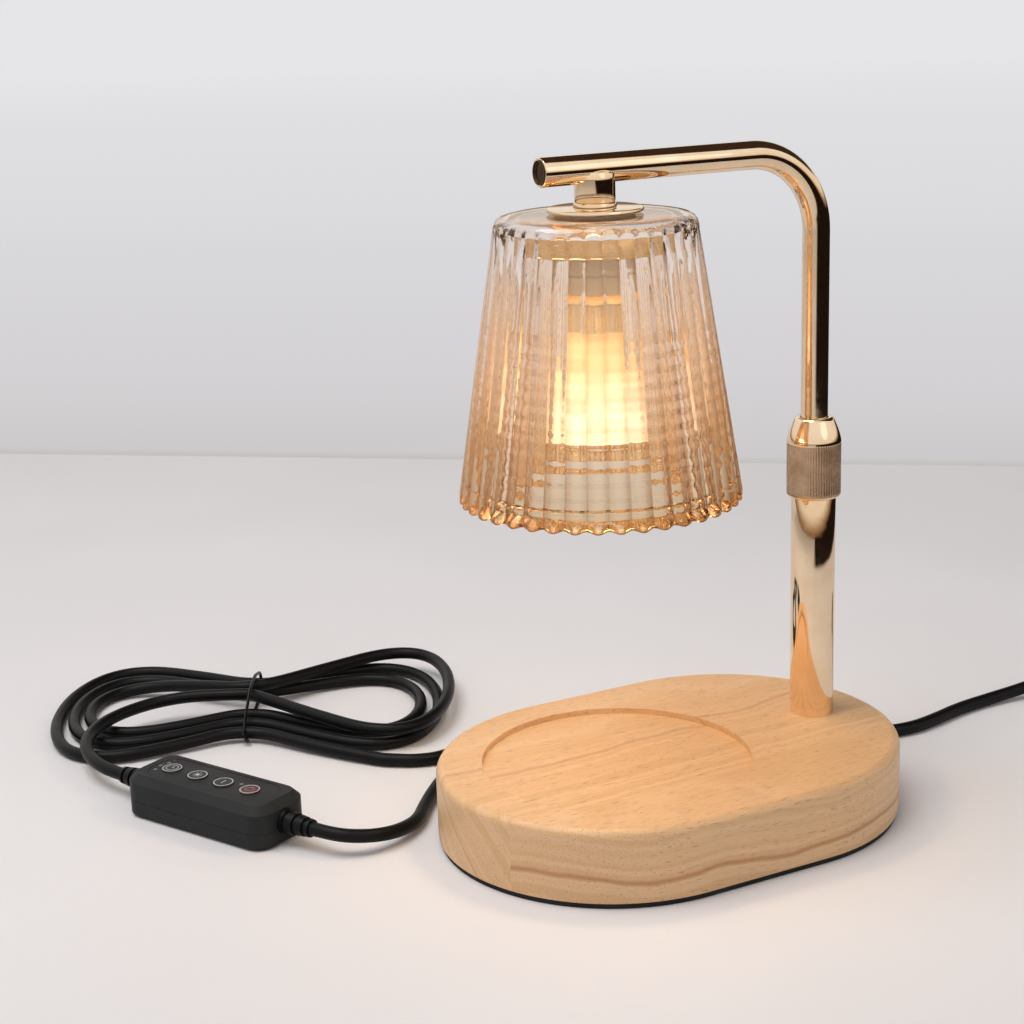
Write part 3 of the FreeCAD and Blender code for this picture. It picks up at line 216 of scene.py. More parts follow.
def rubberwood():
    """Rubberwood, sanded and lacquered satin: pale straw with soft growth bands, a few russet late-wood
    lines and short dark pores; two staves are glued edge to edge, so the figure changes at the joint."""
    material, tree, shader, place = finish("lacquered_rubberwood", Coat_Weight=0.12, Coat_Roughness=0.25)
    across = add(tree, "ShaderNodeSeparateXYZ", links={0: place}).outputs[1]
    front = add(tree, "ShaderNodeMath", {"operation": "LESS_THAN", 1: STAVE_JOINT}, {0: across}).outputs[0]
    # growth rings open from the pith of each stave and run nearly along it
    rings = []
    for y, z in PITHS:
        away = add(tree, "ShaderNodeVectorMath",
                   {"operation": "MULTIPLY_ADD", 1: (0.035, 1, 1), 2: (0, -y, -z)}, {0: place})
        reach = add(tree, "ShaderNodeVectorMath", {"operation": "LENGTH"}, {0: away.outputs[0]})
        rings.append(reach.outputs["Value"])
    far = add(tree, "ShaderNodeMix", {"data_type": "FLOAT"}, {0: front, 2: rings[0], 3: rings[1]}).outputs[0]
    wander = add(tree, "ShaderNodeTexNoise", {"Scale": 0.014, "Detail": 3.0, "Roughness": 0.45},
                 {"Vector": place}).outputs["Fac"]
    ring = add(tree, "ShaderNodeMath", {"operation": "MULTIPLY_ADD", 1: 16.0}, {0: wander, 2: far}).outputs[0]
    # soft bands about 4 mm apart, and late-wood lines about 10 mm apart
    band = add(tree, "ShaderNodeMath", {"operation": "MULTIPLY", 1: 0.24}, {0: ring}).outputs[0]
    wide = add(tree, "ShaderNodeTexNoise",
               {"noise_dimensions": "1D", "Scale": 1.0, "Detail": 2.0, "Roughness": 0.6},
               {"W": band}).outputs["Fac"]
    line = add(tree, "ShaderNodeMath", {"operation": "MULTIPLY_ADD", 1: 0.105, 2: 31.7}, {0: ring}).outputs[0]
    late = add(tree, "ShaderNodeTexNoise", {"noise_dimensions": "1D", "Scale": 1.0, "Detail": 1.0},
               {"W": line}).outputs["Fac"]
    # fibres about 0.9 mm wide, and pores about 0.4 mm wide and 5 mm long, twice the real size so that
    # they show
    fibre_place = add(tree, "ShaderNodeMapping", {"Scale": (0.035, 1.1, 1.1)}, {0: place}).outputs[0]
    fibre = add(tree, "ShaderNodeTexNoise", {"Scale": 1.0, "Detail": 4.0, "Roughness": 0.65},
                {"Vector": fibre_place}).outputs["Fac"]
    pore_place = add(tree, "ShaderNodeMapping", {"Scale": (0.19, 2.3, 2.3)}, {0: place}).outputs[0]
    pore = add(tree, "ShaderNodeTexNoise", {"Scale": 1.0, "Detail": 2.0, "Roughness": 0.5},
               {"Vector": pore_place}).outputs["Fac"]
    cloud = add(tree, "ShaderNodeTexNoise", {"Scale": 0.018, "Detail": 2.0}, {"Vector": place}).outputs["Fac"]
    # one russet line runs low along the front stave, as far from its pith as RUSSET_RING with the wander
    off_line = add(tree, "ShaderNodeMath", {"operation": "SUBTRACT", 1: RUSSET_RING}, {0: ring}).outputs[0]
    beside = add(tree, "ShaderNodeMath", {"operation": "ABSOLUTE"}, {0: off_line}).outputs[0]
    russet = add(tree, "ShaderNodeMapRange", {1: 0.3, 2: 1.5, 3: 0.62, 4: 0.0}, {0: beside}).outputs[0]
    front_russet = add(tree, "ShaderNodeMath", {"operation": "MULTIPLY"}, {0: russet, 1: front}).outputs[0]
    late_share = add(tree, "ShaderNodeMapRange", {1: 0.665, 2: 0.72, 3: 0.0, 4: 0.62}, {0: late}).outputs[0]
    # the pale bands, and fibres, clouds, lines and pores laid over them one after the other
    fibre_share = add(tree, "ShaderNodeMath", {"operation": "MULTIPLY", 1: 0.5}, {0: fibre}).outputs[0]
    cloud_share = add(tree, "ShaderNodeMath", {"operation": "MULTIPLY", 1: 0.3}, {0: cloud}).outputs[0]
    line_share = add(tree, "ShaderNodeMath", {"operation": "MAXIMUM"},
                     {0: late_share, 1: front_russet}).outputs[0]
    pore_share = add(tree, "ShaderNodeMapRange", {1: 0.6, 2: 0.7, 3: 0.0, 4: 0.6}, {0: pore}).outputs[0]
    tone = add(tree, "ShaderNodeValToRGB", {"stops": ((0.3, "#E0B687"), (0.5, "#E8BF92"), (0.68, "#EDC9A0"))},
               {0: wide}).outputs[0]
    for share, colour in ((fibre_share, "#C79763"), (cloud_share, "#E8BF90"), (line_share, "#AC6A3C"),
                          (pore_share, "#8F5F3A")):
        tone = add(tree, "ShaderNodeMix", {"data_type": "RGBA", 7: hex_colour(colour)},
                   {0: share, 6: tone}).outputs[2]
    tree.links.new(tone, shader.inputs["Base Color"])
    satin = add(tree, "ShaderNodeMapRange", {1: 0.3, 2: 0.7, 3: 0.38, 4: 0.52}, {0: fibre}).outputs[0]
    tree.links.new(satin, shader.inputs["Roughness"])
    relief = add(tree, "ShaderNodeMath", {"operation": "SUBTRACT"}, {0: fibre, 1: pore_share}).outputs[0]
    sanded = add(tree, "ShaderNodeBump", {"Strength": 0.6, "Distance": 0.05 * MM},
                 {"Height": relief}).outputs[0]
    tree.links.new(sanded, shader.inputs["Normal"])
    return material


def champagne_gold(name="polished_champagne_gold", rough=0.06, tint="#ECCFAA", pale="#F2DABB"):
    """Champagne gold plate on polished steel: a clear mirror with very faint polishing waves."""
    material, tree, shader, place = finish(name, Metallic=1.0)
    wave = add(tree, "ShaderNodeTexNoise", {"Scale": 0.11, "Detail": 2.0}, {"Vector": place}).outputs["Fac"]
    tone = add(tree, "ShaderNodeValToRGB", {"stops": ((0.3, tint), (0.7, pale))}, {0: wave}).outputs[0]
    tree.links.new(tone, shader.inputs["Base Color"])
    smear = add(tree, "ShaderNodeTexNoise", {"Scale": 0.35, "Detail": 4.0}, {"Vector": place}).outputs["Fac"]
    gloss = add(tree, "ShaderNodeMapRange", {1: 0.3, 2: 0.7, 3: rough * 0.7, 4: rough * 1.6},
                {0: smear}).outputs[0]
    tree.links.new(gloss, shader.inputs["Roughness"])
    polished = add(tree, "ShaderNodeBump", {"Strength": 0.35, "Distance": 0.1 * MM},
                   {"Height": wave}).outputs[0]
    tree.links.new(polished, shader.inputs["Normal"])
    return material


def lustre_glass():
    """Pressed soda glass with a fired-on amber lustre: clear where it faces the eye, honey brown where the
    eye skims a flute, and deeper towards the rim, where the lustre is thickest. It glows a little with
    painted light of the bulb."""
    material, tree, shader, place = finish("amber_lustre_glass", Roughness=0.02, IOR=1.5,
                                           Transmission_Weight=1.0, Emission_Color=hex_colour("#FFB45A"))
    height = add(tree, "ShaderNodeSeparateXYZ", links={0: place}).outputs[2]
    share = add(tree, "ShaderNodeMapRange", {1: RIM_Z - 0.6, 2: TOP_Z}, {0: height}).outputs[0]
    clear = add(tree, "ShaderNodeValToRGB",
                {"stops": ((0.0, "#F2D09E"), (0.06, "#F7E3C2"), (0.4, "#FDF5E6"), (1.0, "#FEFAF6"))},
                {0: share}).outputs[0]
    skim = add(tree, "ShaderNodeLayerWeight", {"Blend": 0.55}).outputs["Facing"]
    depth = add(tree, "ShaderNodeMapRange", {1: 0.0, 2: 0.9, 3: 1.0, 4: 0.16}, {0: share}).outputs[0]
    amber_share = add(tree, "ShaderNodeMath", {"operation": "MULTIPLY"}, {0: skim, 1: depth}).outputs[0]
    tone = add(tree, "ShaderNodeMix", {"data_type": "RGBA", 7: hex_colour("#C07A2C")},
               {0: amber_share, 6: clear}).outputs[2]
    tree.links.new(tone, shader.inputs["Base Color"])
    # painted light: the glass glows with the bulb's light, most about a third of the way up, less at the rim
    # and least at the top
    painted_glow_by_height = add(tree, "ShaderNodeValToRGB",
               {"stops": ((0.0, "#8A8A8A"), (0.3, "#FFFFFF"), (0.62, "#D8D8D8"), (0.95, "#5A5A5A"))},
               {0: share}).outputs[0]
    painted_bulb_glow = add(tree, "ShaderNodeMath", {"operation": "MULTIPLY", 1: 0.06}, {0: painted_glow_by_height}).outputs[0]
    tree.links.new(painted_bulb_glow, shader.inputs["Emission Strength"])
    # seeds and chill marks about 2 mm across
    seeds = add(tree, "ShaderNodeTexNoise", {"Scale": 0.55, "Detail": 3.0, "Roughness": 0.6},
                {"Vector": place}).outputs["Fac"]
    chilled = add(tree, "ShaderNodeBump", {"Strength": 0.3, "Distance": 0.1 * MM},
                  {"Height": seeds}).outputs[0]
    tree.links.new(chilled, shader.inputs["Normal"])
    film = add(tree, "ShaderNodeBsdfAnisotropic",
               {"Color": hex_colour("#CC924A"), "Roughness": 0.06}).outputs[0]
    thick = add(tree, "ShaderNodeMapRange", {1: 0.0, 2: 0.9, 3: 0.55, 4: 0.1}, {0: share}).outputs[0]
    film_share = add(tree, "ShaderNodeMath", {"operation": "MULTIPLY_ADD", 2: 0.01},
                     {0: skim, 1: thick}).outputs[0]
    lustred = add(tree, "ShaderNodeMixShader",
                  links={0: film_share, 1: shader.outputs[0], 2: film}).outputs[0]
    # light passes to what is inside and under the shade, tinted by the glass
    through = add(tree, "ShaderNodeBsdfTransparent", {"Color": hex_colour("#F8EFE0")}).outputs[0]
    shadow = add(tree, "ShaderNodeLightPath").outputs["Is Shadow Ray"]
    result = add(tree, "ShaderNodeMixShader", links={0: shadow, 1: lustred, 2: through}).outputs[0]
    tree.links.new(result, tree.nodes["Material Output"].inputs["Surface"])
    return material


def lit_glass():
    """Pressed reflector glass of the lit halogen bulb: orange at the neck, near white at the mouth."""
    material, tree, shader, place = finish("lit_reflector_glass", Roughness=0.3,
                                           Base_Color=hex_colour("#F3D9A8"))
    height = add(tree, "ShaderNodeSeparateXYZ", links={0: place}).outputs[2]
    share = add(tree, "ShaderNodeMapRange", {1: 164.0, 2: 216.0}, {0: height}).outputs[0]
    glow = add(tree, "ShaderNodeValToRGB",
               {"stops": ((0.0, "#FFF5E6"), (0.3, "#FFEDD2"), (0.55, "#FFD49C"), (0.9, "#F6B064"))},
               {0: share}).outputs[0]
    tree.links.new(glow, shader.inputs["Emission Color"])
    # facets about 7 mm across, brighter in bands about 11 mm apart, where the capsule shines through
    facet = add(tree, "ShaderNodeTexVoronoi", {"Scale": 0.14}, {"Vector": place}).outputs["Distance"]
    bands = add(tree, "ShaderNodeTexWave",
                {"bands_direction": "Z", "Scale": 0.028, "Distortion": 1.5, "Detail": 1.0},
                {"Vector": place}).outputs["Fac"]
    fall = add(tree, "ShaderNodeMapRange", {1: 0.0, 2: 0.75, 3: 1.02, 4: 0.62}, {0: share}).outputs[0]
    patchy = add(tree, "ShaderNodeMath", {"operation": "MULTIPLY_ADD", 1: 0.5, 2: 0.6}, {0: facet}).outputs[0]
    banded = add(tree, "ShaderNodeMath", {"operation": "MULTIPLY_ADD", 1: 0.45},
                 {0: bands, 2: patchy}).outputs[0]
    # the glow thins out where the bulb's wall is skimmed, as it does round a capsule
    skim = add(tree, "ShaderNodeLayerWeight", {"Blend": 0.4}).outputs["Facing"]
    thin = add(tree, "ShaderNodeMapRange", {1: 0.1, 2: 0.9, 3: 1.1, 4: 0.4}, {0: skim}).outputs[0]
    bright = add(tree, "ShaderNodeMath", {"operation": "MULTIPLY"}, {0: fall, 1: banded}).outputs[0]
    power = add(tree, "ShaderNodeMath", {"operation": "MULTIPLY"}, {0: bright, 1: thin}).outputs[0]
    tree.links.new(power, shader.inputs["Emission Strength"])
    return material


def lit_filament():
    """The lit capsule: the brightest thing on the lamp, warm white."""
    material, tree, shader, place = finish("lit_capsule", Roughness=0.3, Emission_Color=hex_colour("#FFE8B8"))
    uneven = add(tree, "ShaderNodeTexNoise", {"Scale": 0.3}, {"Vector": place}).outputs["Fac"]
    power = add(tree, "ShaderNodeMath", {"operation": "MULTIPLY_ADD", 1: 3.0, 2: 7.0}, {0: uneven}).outputs[0]
    tree.links.new(power, shader.inputs["Emission Strength"])
    return material


def clear_glass():
    """Clear pressed glass of the bulb's front lens, softly pebbled, lit from behind."""
    material, tree, shader, place = finish(
        "bulb_lens_glass", Roughness=0.12, IOR=1.5, Transmission_Weight=0.7,
        Base_Color=hex_colour("#FFF0D0"), Emission_Color=hex_colour("#FFECC6"))
    pebble = add(tree, "ShaderNodeTexVoronoi", {"Scale": 0.35}, {"Vector": place}).outputs["Distance"]
    power = add(tree, "ShaderNodeMath", {"operation": "MULTIPLY_ADD", 1: 3.0, 2: 6.4}, {0: pebble}).outputs[0]
    tree.links.new(power, shader.inputs["Emission Strength"])
    pebbled = add(tree, "ShaderNodeBump", {"Strength": 0.5, "Distance": 0.4 * MM},
                  {"Height": pebble}).outputs[0]
    tree.links.new(pebbled, shader.inputs["Normal"])
    return material


def moulded(name, tint, rough, grit_mm, depth_mm, spread, **sockets):
    """Moulded plastic, rubber or glaze with a fine spark-eroded grain and a slight unevenness of colour. The
    grain is drawn about twice as coarse as the real one, so that it shows."""
    material, tree, shader, place = finish(name, **sockets)
    cloud = add(tree, "ShaderNodeTexNoise", {"Scale": 0.06, "Detail": 3.0}, {"Vector": place}).outputs["Fac"]
    share = add(tree, "ShaderNodeMath", {"operation": "MULTIPLY", 1: 0.5}, {0: cloud}).outputs[0]
    tone = add(tree, "ShaderNodeMix", {"data_type": "RGBA", 6: hex_colour(tint), 7: hex_colour(spread)},
               {0: share}).outputs[2]
    tree.links.new(tone, shader.inputs["Base Color"])
    sheen = add(tree, "ShaderNodeMapRange",
                {1: 0.3, 2: 0.7, 3: rough * 0.88, 4: min(1.0, rough * 1.15)}, {0: cloud}).outputs[0]
    tree.links.new(sheen, shader.inputs["Roughness"])
    grit = add(tree, "ShaderNodeTexNoise", {"Scale": 1 / grit_mm, "Detail": 2.0},
               {"Vector": place}).outputs["Fac"]
    grain = add(tree, "ShaderNodeBump", {"Strength": 0.6, "Distance": depth_mm * MM},
                {"Height": grit}).outputs[0]
    tree.links.new(grain, shader.inputs["Normal"])
    return material


def plated(name, tint, rough):
    """Plated steel with a faint turned or drawn haze."""
    material, tree, shader, place = finish(name, Metallic=1.0, Roughness=rough)
    haze = add(tree, "ShaderNodeTexNoise", {"Scale": 0.6, "Detail": 4.0}, {"Vector": place}).outputs["Fac"]
    tone = add(tree, "ShaderNodeMix", {"data_type": "RGBA", 6: hex_colour(tint), 7: hex_colour("#8C8880")},
               {0: haze}).outputs[2]
    tree.links.new(tone, shader.inputs["Base Color"])
    drawn = add(tree, "ShaderNodeBump", {"Strength": 0.5, "Distance": 0.04 * MM}, {"Height": haze}).outputs[0]
    tree.links.new(drawn, shader.inputs["Normal"])
    return material


wood = rubberwood()
gold = champagne_gold()
# the knurled band's gold is drawn darker: painted shade of its grooves
knurl_shaded_gold = champagne_gold("knurl_shaded_champagne_gold", 0.2, "#A98868", "#C7A88A")
cap_gold = champagne_gold("holder_cup_gold", 0.2, "#E2B478", "#EFC892")
shade_glass = lustre_glass()
reflector_glass, filament, lens_glass = lit_glass(), lit_filament(), clear_glass()
cord_black = moulded("black_cord_pvc", "#0E0E0F", 0.4, 0.5, 0.03, "#08080A", Specular_IOR_Level=0.15)
switch_black = moulded("charcoal_abs", "#262728", 0.55, 0.35, 0.05, "#202122", Specular_IOR_Level=0.2)
panel_black = moulded("panel_film", "#202123", 0.45, 0.6, 0.015, "#1A1B1D", Specular_IOR_Level=0.15)
button_black = moulded("button_silicone", "#2A2B2E", 0.5, 0.4, 0.02, "#222325", Specular_IOR_Level=0.35)
power_red = moulded("power_button_red", "#5A2226", 0.5, 0.4, 0.02, "#3C181B")
print_grey = moulded("printed_light_grey", "#C9CBCE", 0.5, 0.5, 0.01, "#A9ABAE")
mark_grey = moulded("printed_dim_grey", "#7B7D80", 0.5, 0.5, 0.01, "#5E6063")
foam = moulded("black_foam", "#141414", 0.9, 0.9, 0.2, "#0A0A0A")
ceramic = moulded("glazed_steatite", "#F2E4C8", 0.3, 1.5, 0.03, "#E6D2AC", Coat_Weight=0.3)
acetal = moulded("dark_acetal", "#2B2320", 0.4, 0.6, 0.02, "#1D1714")
silicone = moulded("clear_silicone", "#D8D0C4", 0.35, 0.8, 0.02, "#C8BFB2")
laminate = moulded("green_laminate", "#1F5B3A", 0.4, 0.8, 0.03, "#174A2E")
steel = plated("zinc_plated_steel", "#C4C2BC", 0.28)
brass = plated("stamped_brass", "#D8BC78", 0.25)


# Modelling helpers
def pick_none():
    bpy.ops.object.select_all(action="DESELECT")


def dress(piece, material, body):
    piece.data.materials.clear()
    piece.data.materials.append(material)
    if piece.type == "MESH":
        for face in piece.data.polygons:
            face.material_index = 0
    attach(piece, body)


def lathe(name, outline, x=0, y=0, sides=96, closed=False, capped=False):
    """A piece drawn up ring by ring from a circle, through (radius, height) steps in mm."""
    pick_none()
    radius, z = outline[0]
    bpy.ops.mesh.primitive_circle_add(vertices=sides, radius=radius * MM, location=mm(x, y, z))
    piece = bpy.context.object
    piece.name = piece.data.name = name
    bpy.ops.object.transform_apply(location=True, rotation=True, scale=True)
    bpy.ops.object.mode_set(mode="EDIT")
    bpy.ops.mesh.select_mode(type="VERT")
    bpy.ops.mesh.select_all(action="SELECT")
    if capped:
        bpy.ops.mesh.edge_face_add()
    for wanted, height in outline[1:]:
        bpy.ops.mesh.extrude_edges_move(TRANSFORM_OT_translate={"value": (0, 0, (height - z) * MM)})
        if wanted == 0:
            bpy.ops.mesh.merge(type="CENTER")
            break
        if wanted != radius:
            scale = wanted / radius
            bpy.ops.transform.resize(value=(scale, scale, 1), center_override=mm(x, y, height))
        radius, z = wanted, height
    if closed:
        bpy.ops.mesh.select_non_manifold()
        bpy.ops.mesh.bridge_edge_loops()
    bpy.ops.mesh.select_all(action="SELECT")
    bpy.ops.mesh.remove_doubles(threshold=1e-7)
    bpy.ops.mesh.normals_make_consistent(inside=False)
    bpy.ops.object.mode_set(mode="OBJECT")
    bpy.ops.object.shade_smooth_by_angle(angle=math.radians(32))
    return piece


def shape_picked(piece, wanted, scale=None, shift=None, centre=(0, 0, 0)):
    """Scale or shift the points that a test picks by their place in mm."""
    pick_none()
    piece.select_set(True)
    bpy.context.view_layer.objects.active = piece
    for item in (*piece.data.edges, *piece.data.polygons):
        item.select = False
    for vertex in piece.data.vertices:
        vertex.select = wanted(vertex.co * 1000)
    bpy.ops.object.mode_set(mode="EDIT")
    if scale:
        bpy.ops.transform.resize(value=scale, center_override=mm(*centre))
    if shift:
        bpy.ops.transform.translate(value=mm(*shift))
    bpy.ops.object.mode_set(mode="OBJECT")


def column_test(middle_x, count, phase, sides, test):
    """Picks the columns of one phase of a repeated flute, where a test of radius and height holds."""
    per = sides // count

    def wanted(point):
        turn = math.atan2(point.y, point.x - middle_x) / (2 * math.pi) * sides
        return round(turn) % per in phase and test(math.hypot(point.x - middle_x, point.y), point.z)
    return wanted


# Bent arm: a tube drawn up from a circle, turned through the bend and drawn out level
def bent_arm():
    pick_none()
    bpy.ops.mesh.primitive_circle_add(vertices=64, radius=ARM_RAD * MM, location=mm(POST_X, 0, ARM_FOOT_Z))
    piece = bpy.context.object
    piece.name = piece.data.name = "bent_arm"
    bpy.ops.object.transform_apply(location=True, rotation=True, scale=True)
    bpy.ops.object.mode_set(mode="EDIT")
    bpy.ops.mesh.select_all(action="SELECT")
    rise, run = AXIS_Z - BEND - ARM_FOOT_Z, ARM_TIP_X + 0.5 - POST_X + BEND
    bpy.ops.mesh.extrude_edges_move(TRANSFORM_OT_translate={"value": (0, 0, rise * MM)})
    bpy.ops.mesh.spin(steps=40, angle=math.pi / 2, center=mm(POST_X - BEND, 0, AXIS_Z - BEND), axis=(0, 1, 0))
    bpy.ops.mesh.extrude_edges_move(TRANSFORM_OT_translate={"value": (run * MM, 0, 0)})
    # the open end is rounded over and turned back inside the tube
    for step, scale in ((-0.4, 0.97), (-0.1, 0.955), (0.1, 0.9)):
        bpy.ops.mesh.extrude_edges_move(TRANSFORM_OT_translate={"value": (step * MM, 0, 0)})
        bpy.ops.transform.resize(value=(1, scale, scale), center_override=mm(ARM_TIP_X, 0, AXIS_Z))
    bpy.ops.mesh.extrude_edges_move(TRANSFORM_OT_translate={"value": (8 * MM, 0, 0)})
    bpy.ops.mesh.select_all(action="SELECT")
    bpy.ops.mesh.remove_doubles(threshold=1e-7)
    bpy.ops.mesh.normals_make_consistent(inside=False)
    bpy.ops.object.mode_set(mode="OBJECT")
    bpy.ops.object.shade_smooth_by_angle(angle=math.radians(32))
    return piece


arm = bent_arm()
dress(arm, gold, "arm")
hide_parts("arm_tube")

# the end plug is turned upright and laid level in the arm's open end
end_plug = lathe("end_plug", [(4.45, 0), (4.45, -5), (3.9, -5), (3.7, -4.5), (3.3, -4.3), (3.1, -4.4),
                              (0.01, -4.4)], sides=64)
end_plug.data.transform(Matrix.Translation(mm(ARM_TIP_X - 0.3, 0, AXIS_Z))
                        @ Matrix.Rotation(math.radians(90), 4, "Y") @ Matrix.Translation(mm(0, 0, 5)))
plug_gold = champagne_gold("shaded_end_plug", 0.35, "#3A2A1E", "#54402F")
dress(end_plug, plug_gold, "arm")
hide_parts("arm_end_cap")

# Post, clamp nut, neck and disc
post = lathe("post", [(8, 30.8), (9, 30.8), (9, 80), (9, 126.4), (8.8, 126.8), (8.4, 127), (8, 127), (8, 80)],
             POST_X, sides=128, closed=True)
dress(post, gold, "base")
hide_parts("post_tube")

NUT_SIDES, KNURL_LOW, KNURL_HIGH = 252, 125.5, 145.9
nut_outline = [(9.1, 124.1), (10.0, 124.0), (10.6, 124.4), (10.9, 125.0), (10.9, 126.2), (10.9, 135),
               (10.9, 144.4), (10.9, 145.4), (10.85, 146.2), (10.85, 147.0), (10.7, 147.9), (10.2, 149.9),
               (9.5, 151.9), (8.7, 153.9), (8.0, 155.5), (7.65, 156.2), (7.2, 156.5), (6.5, 156.6),
               (5.75, 156.5), (5.7, 155.4)]
clamp_nut = lathe("clamp_nut", nut_outline, POST_X, sides=NUT_SIDES)
# 63 fine vertical grooves, about 1.1 mm apart
shape_picked(clamp_nut, column_test(POST_X, 63, (0,), NUT_SIDES,
                                    lambda radius, z: radius > 10.7 and KNURL_LOW < z < KNURL_HIGH),
             scale=(0.952, 0.952, 1), centre=(POST_X, 0, 0))
dress(clamp_nut, gold, "collet_nut")
# the knurled band takes the darker gold, painted shade of its grooves
clamp_nut.data.materials.append(knurl_shaded_gold)
for face in clamp_nut.data.polygons:
    if KNURL_LOW < face.center.z * 1000 < KNURL_HIGH:
        face.material_index = 1
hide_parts("collet_nut")

neck = lathe("neck", [(8.1, 248.4), (8.1, 249.6), (7.9, 250.0), (7.45, 250.2), (7.45, 250.6), (7.6, 251.0),
                      (7.6, 258.5), (7.5, 260.2), (6.9, 261.4), (5.0, 262.2)], SHADE_X, capped=True)
dress(neck, gold, "arm")
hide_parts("neck")
disc = lathe("top_plate", [(4.6, 246.8), (17.7, 246.8), (18, 247.0), (18, 247.9), (17.8, 248.25),
                           (17.3, 248.4), (4.6, 248.4)], SHADE_X, sides=128, closed=True)
dress(disc, gold, "arm")
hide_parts("top_disc")


# Shade: one closed wall, fluted, with soft rings on its inside
SHADE_SIDES, FLUTES, WALL = 320, 40, 4.3
RINGS, RING_STEP, FIRST_RING_Z = 11, 5.2, 205


def outer_radius(z):
    return RIM_RAD - (RIM_RAD - SHOULDER_RAD) * (z - RIM_Z) / (SHOULDER_Z - RIM_Z)


def inner_radius(z):
    return outer_radius(z) - WALL


shade_outline = [(53.2, 139.2), (53.8, 139.7)]
shade_outline += [(outer_radius(z), z) for z in (141, 143, *range(152, 233, 10))]
shade_outline += [(38.25, 239.4), (38.0, 241.6), (37.6, 243.1), (36.6, 244.5), (34.9, 245.5), (32.2, 245.95),
                  (28, TOP_Z), (15, TOP_Z), (4.8, TOP_Z), (4.8, TOP_Z - 4), (14, 242.0), (26, 242.0),
                  (30.5, 241.8), (32.6, 240.4), (33.6, 238)]
shade_outline += [(inner_radius(z), z) for z in (232, 222, 214, 208)]
# the soft rings lie below a plain upper wall
for ring in range(RINGS):
    z = FIRST_RING_Z - RING_STEP * ring
    for drop, proud in ((0, 0.0), (1.0, 0.15), (2.1, 0.26), (3.2, 0.15), (4.2, 0.0)):
        shade_outline.append((inner_radius(z - drop) - proud, z - drop))
shade_outline += [(inner_radius(z) - proud, z) for z, proud in (
    (146.4, 0), (145.6, 0.5), (144.8, 0), (143.2, 0), (142.4, 0.45), (141.6, 0), (140.4, -0.6))]
shade_outline += [(51.2, 139.4), (52.2, 139.1)]
shade = lathe("fluted_shade", shade_outline, SHADE_X, sides=SHADE_SIDES, closed=True)
# the flutes are pressed through the wall, but for its narrow top, where only the outside takes them, and
# they run out at the shoulder
PER, FLUTED_BEYOND = SHADE_SIDES // FLUTES, 36.5
for phase, share in (((0,), 1.0), ((1, PER - 1), 0.42), ((2, PER - 2), 0.14)):
    for low, high, deep in ((0, 236, 0.03), (236, 240, 0.023), (240, 242.5, 0.012)):
        squeeze = 1 - deep * share
        shape_picked(shade, column_test(SHADE_X, FLUTES, phase, SHADE_SIDES,
                                        lambda radius, z: low < z <= high and radius > FLUTED_BEYOND),
                     scale=(squeeze, squeeze, 1), centre=(SHADE_X, 0, 0))
# the rim hangs in shallow scallops, one to a flute
for phase, drop in (((4,), 0.9), ((3, 5), 0.75), ((2, 6), 0.35)):
    shape_picked(shade, column_test(SHADE_X, FLUTES, phase, SHADE_SIDES, lambda radius, z: z < RIM_Z + 0.6),
                 shift=(0, 0, -drop))
bpy.ops.object.shade_smooth_by_angle(angle=math.radians(40))
dress(shade, shade_glass, "arm")
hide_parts("glass_shade")

# Lampholder and lit bulb inside the shade
cup = lathe("holder_cup_shell", [(4.6, 241.7), (28, 241.7), (28.8, 241.3), (29, 240.6), (29, 233.8),
                                 (29.3, 233.5), (29.3, 233.1), (28.2, 233.1), (28, 233.6), (28, 240.2),
                                 (27, 240.9), (4.6, 240.9)], SHADE_X, closed=True)
dress(cup, cap_gold, "arm")
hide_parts("holder_cup")
socket = lathe("steatite_socket", [(2.2, 217.2), (2.2, 226), (8, 226), (8, 217.2), (13, 217.2), (13.8, 217.8),
                                   (14, 218.6), (14, 224.4), (13.2, 225), (13.2, 226.4), (14, 227),
                                   (14, 234.4), (13.4, 235.1), (0, 235.2)], SHADE_X, capped=True)
dress(socket, ceramic, "arm")
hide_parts("lamp_socket")
reflector = lathe("bulb_cup", [(24.9, 164.9), (24.9, 166.6), (24.1, 167.4), (24.0, 170), (23.4, 176),
                               (22.3, 182), (20.7, 187.6), (18.6, 193), (15.9, 198), (13.1, 201.8),
                               (12.0, 203.4), (12.0, 213.2), (11.2, 215.4), (9.2, 216.6), (0, 216.8)],
                  SHADE_X)
# 24 shallow flutes down the cup
shape_picked(reflector, column_test(SHADE_X, 24, (0,), 96, lambda radius, z: 168 < z < 201),
             scale=(0.975, 0.975, 1), centre=(SHADE_X, 0, 0))
dress(reflector, reflector_glass, "bulb")
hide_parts("bulb_reflector")
front_lens = lathe("bulb_front", [(23.2, 166.6), (23.4, 165.2), (22.6, 164.5), (18, 164.1), (10, 163.9),
                                  (0, 163.85)], SHADE_X)
dress(front_lens, lens_glass, "bulb")
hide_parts("bulb_lens")
capsule = lathe("lit_capsule", [(2.0, 201), (4.3, 199.5), (4.5, 196), (4.5, 176), (3.6, 173.2),
                                (1.8, 171.6), (0, 171.4)], SHADE_X, sides=32, capped=True)
dress(capsule, filament, "bulb")
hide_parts("bulb_capsule")

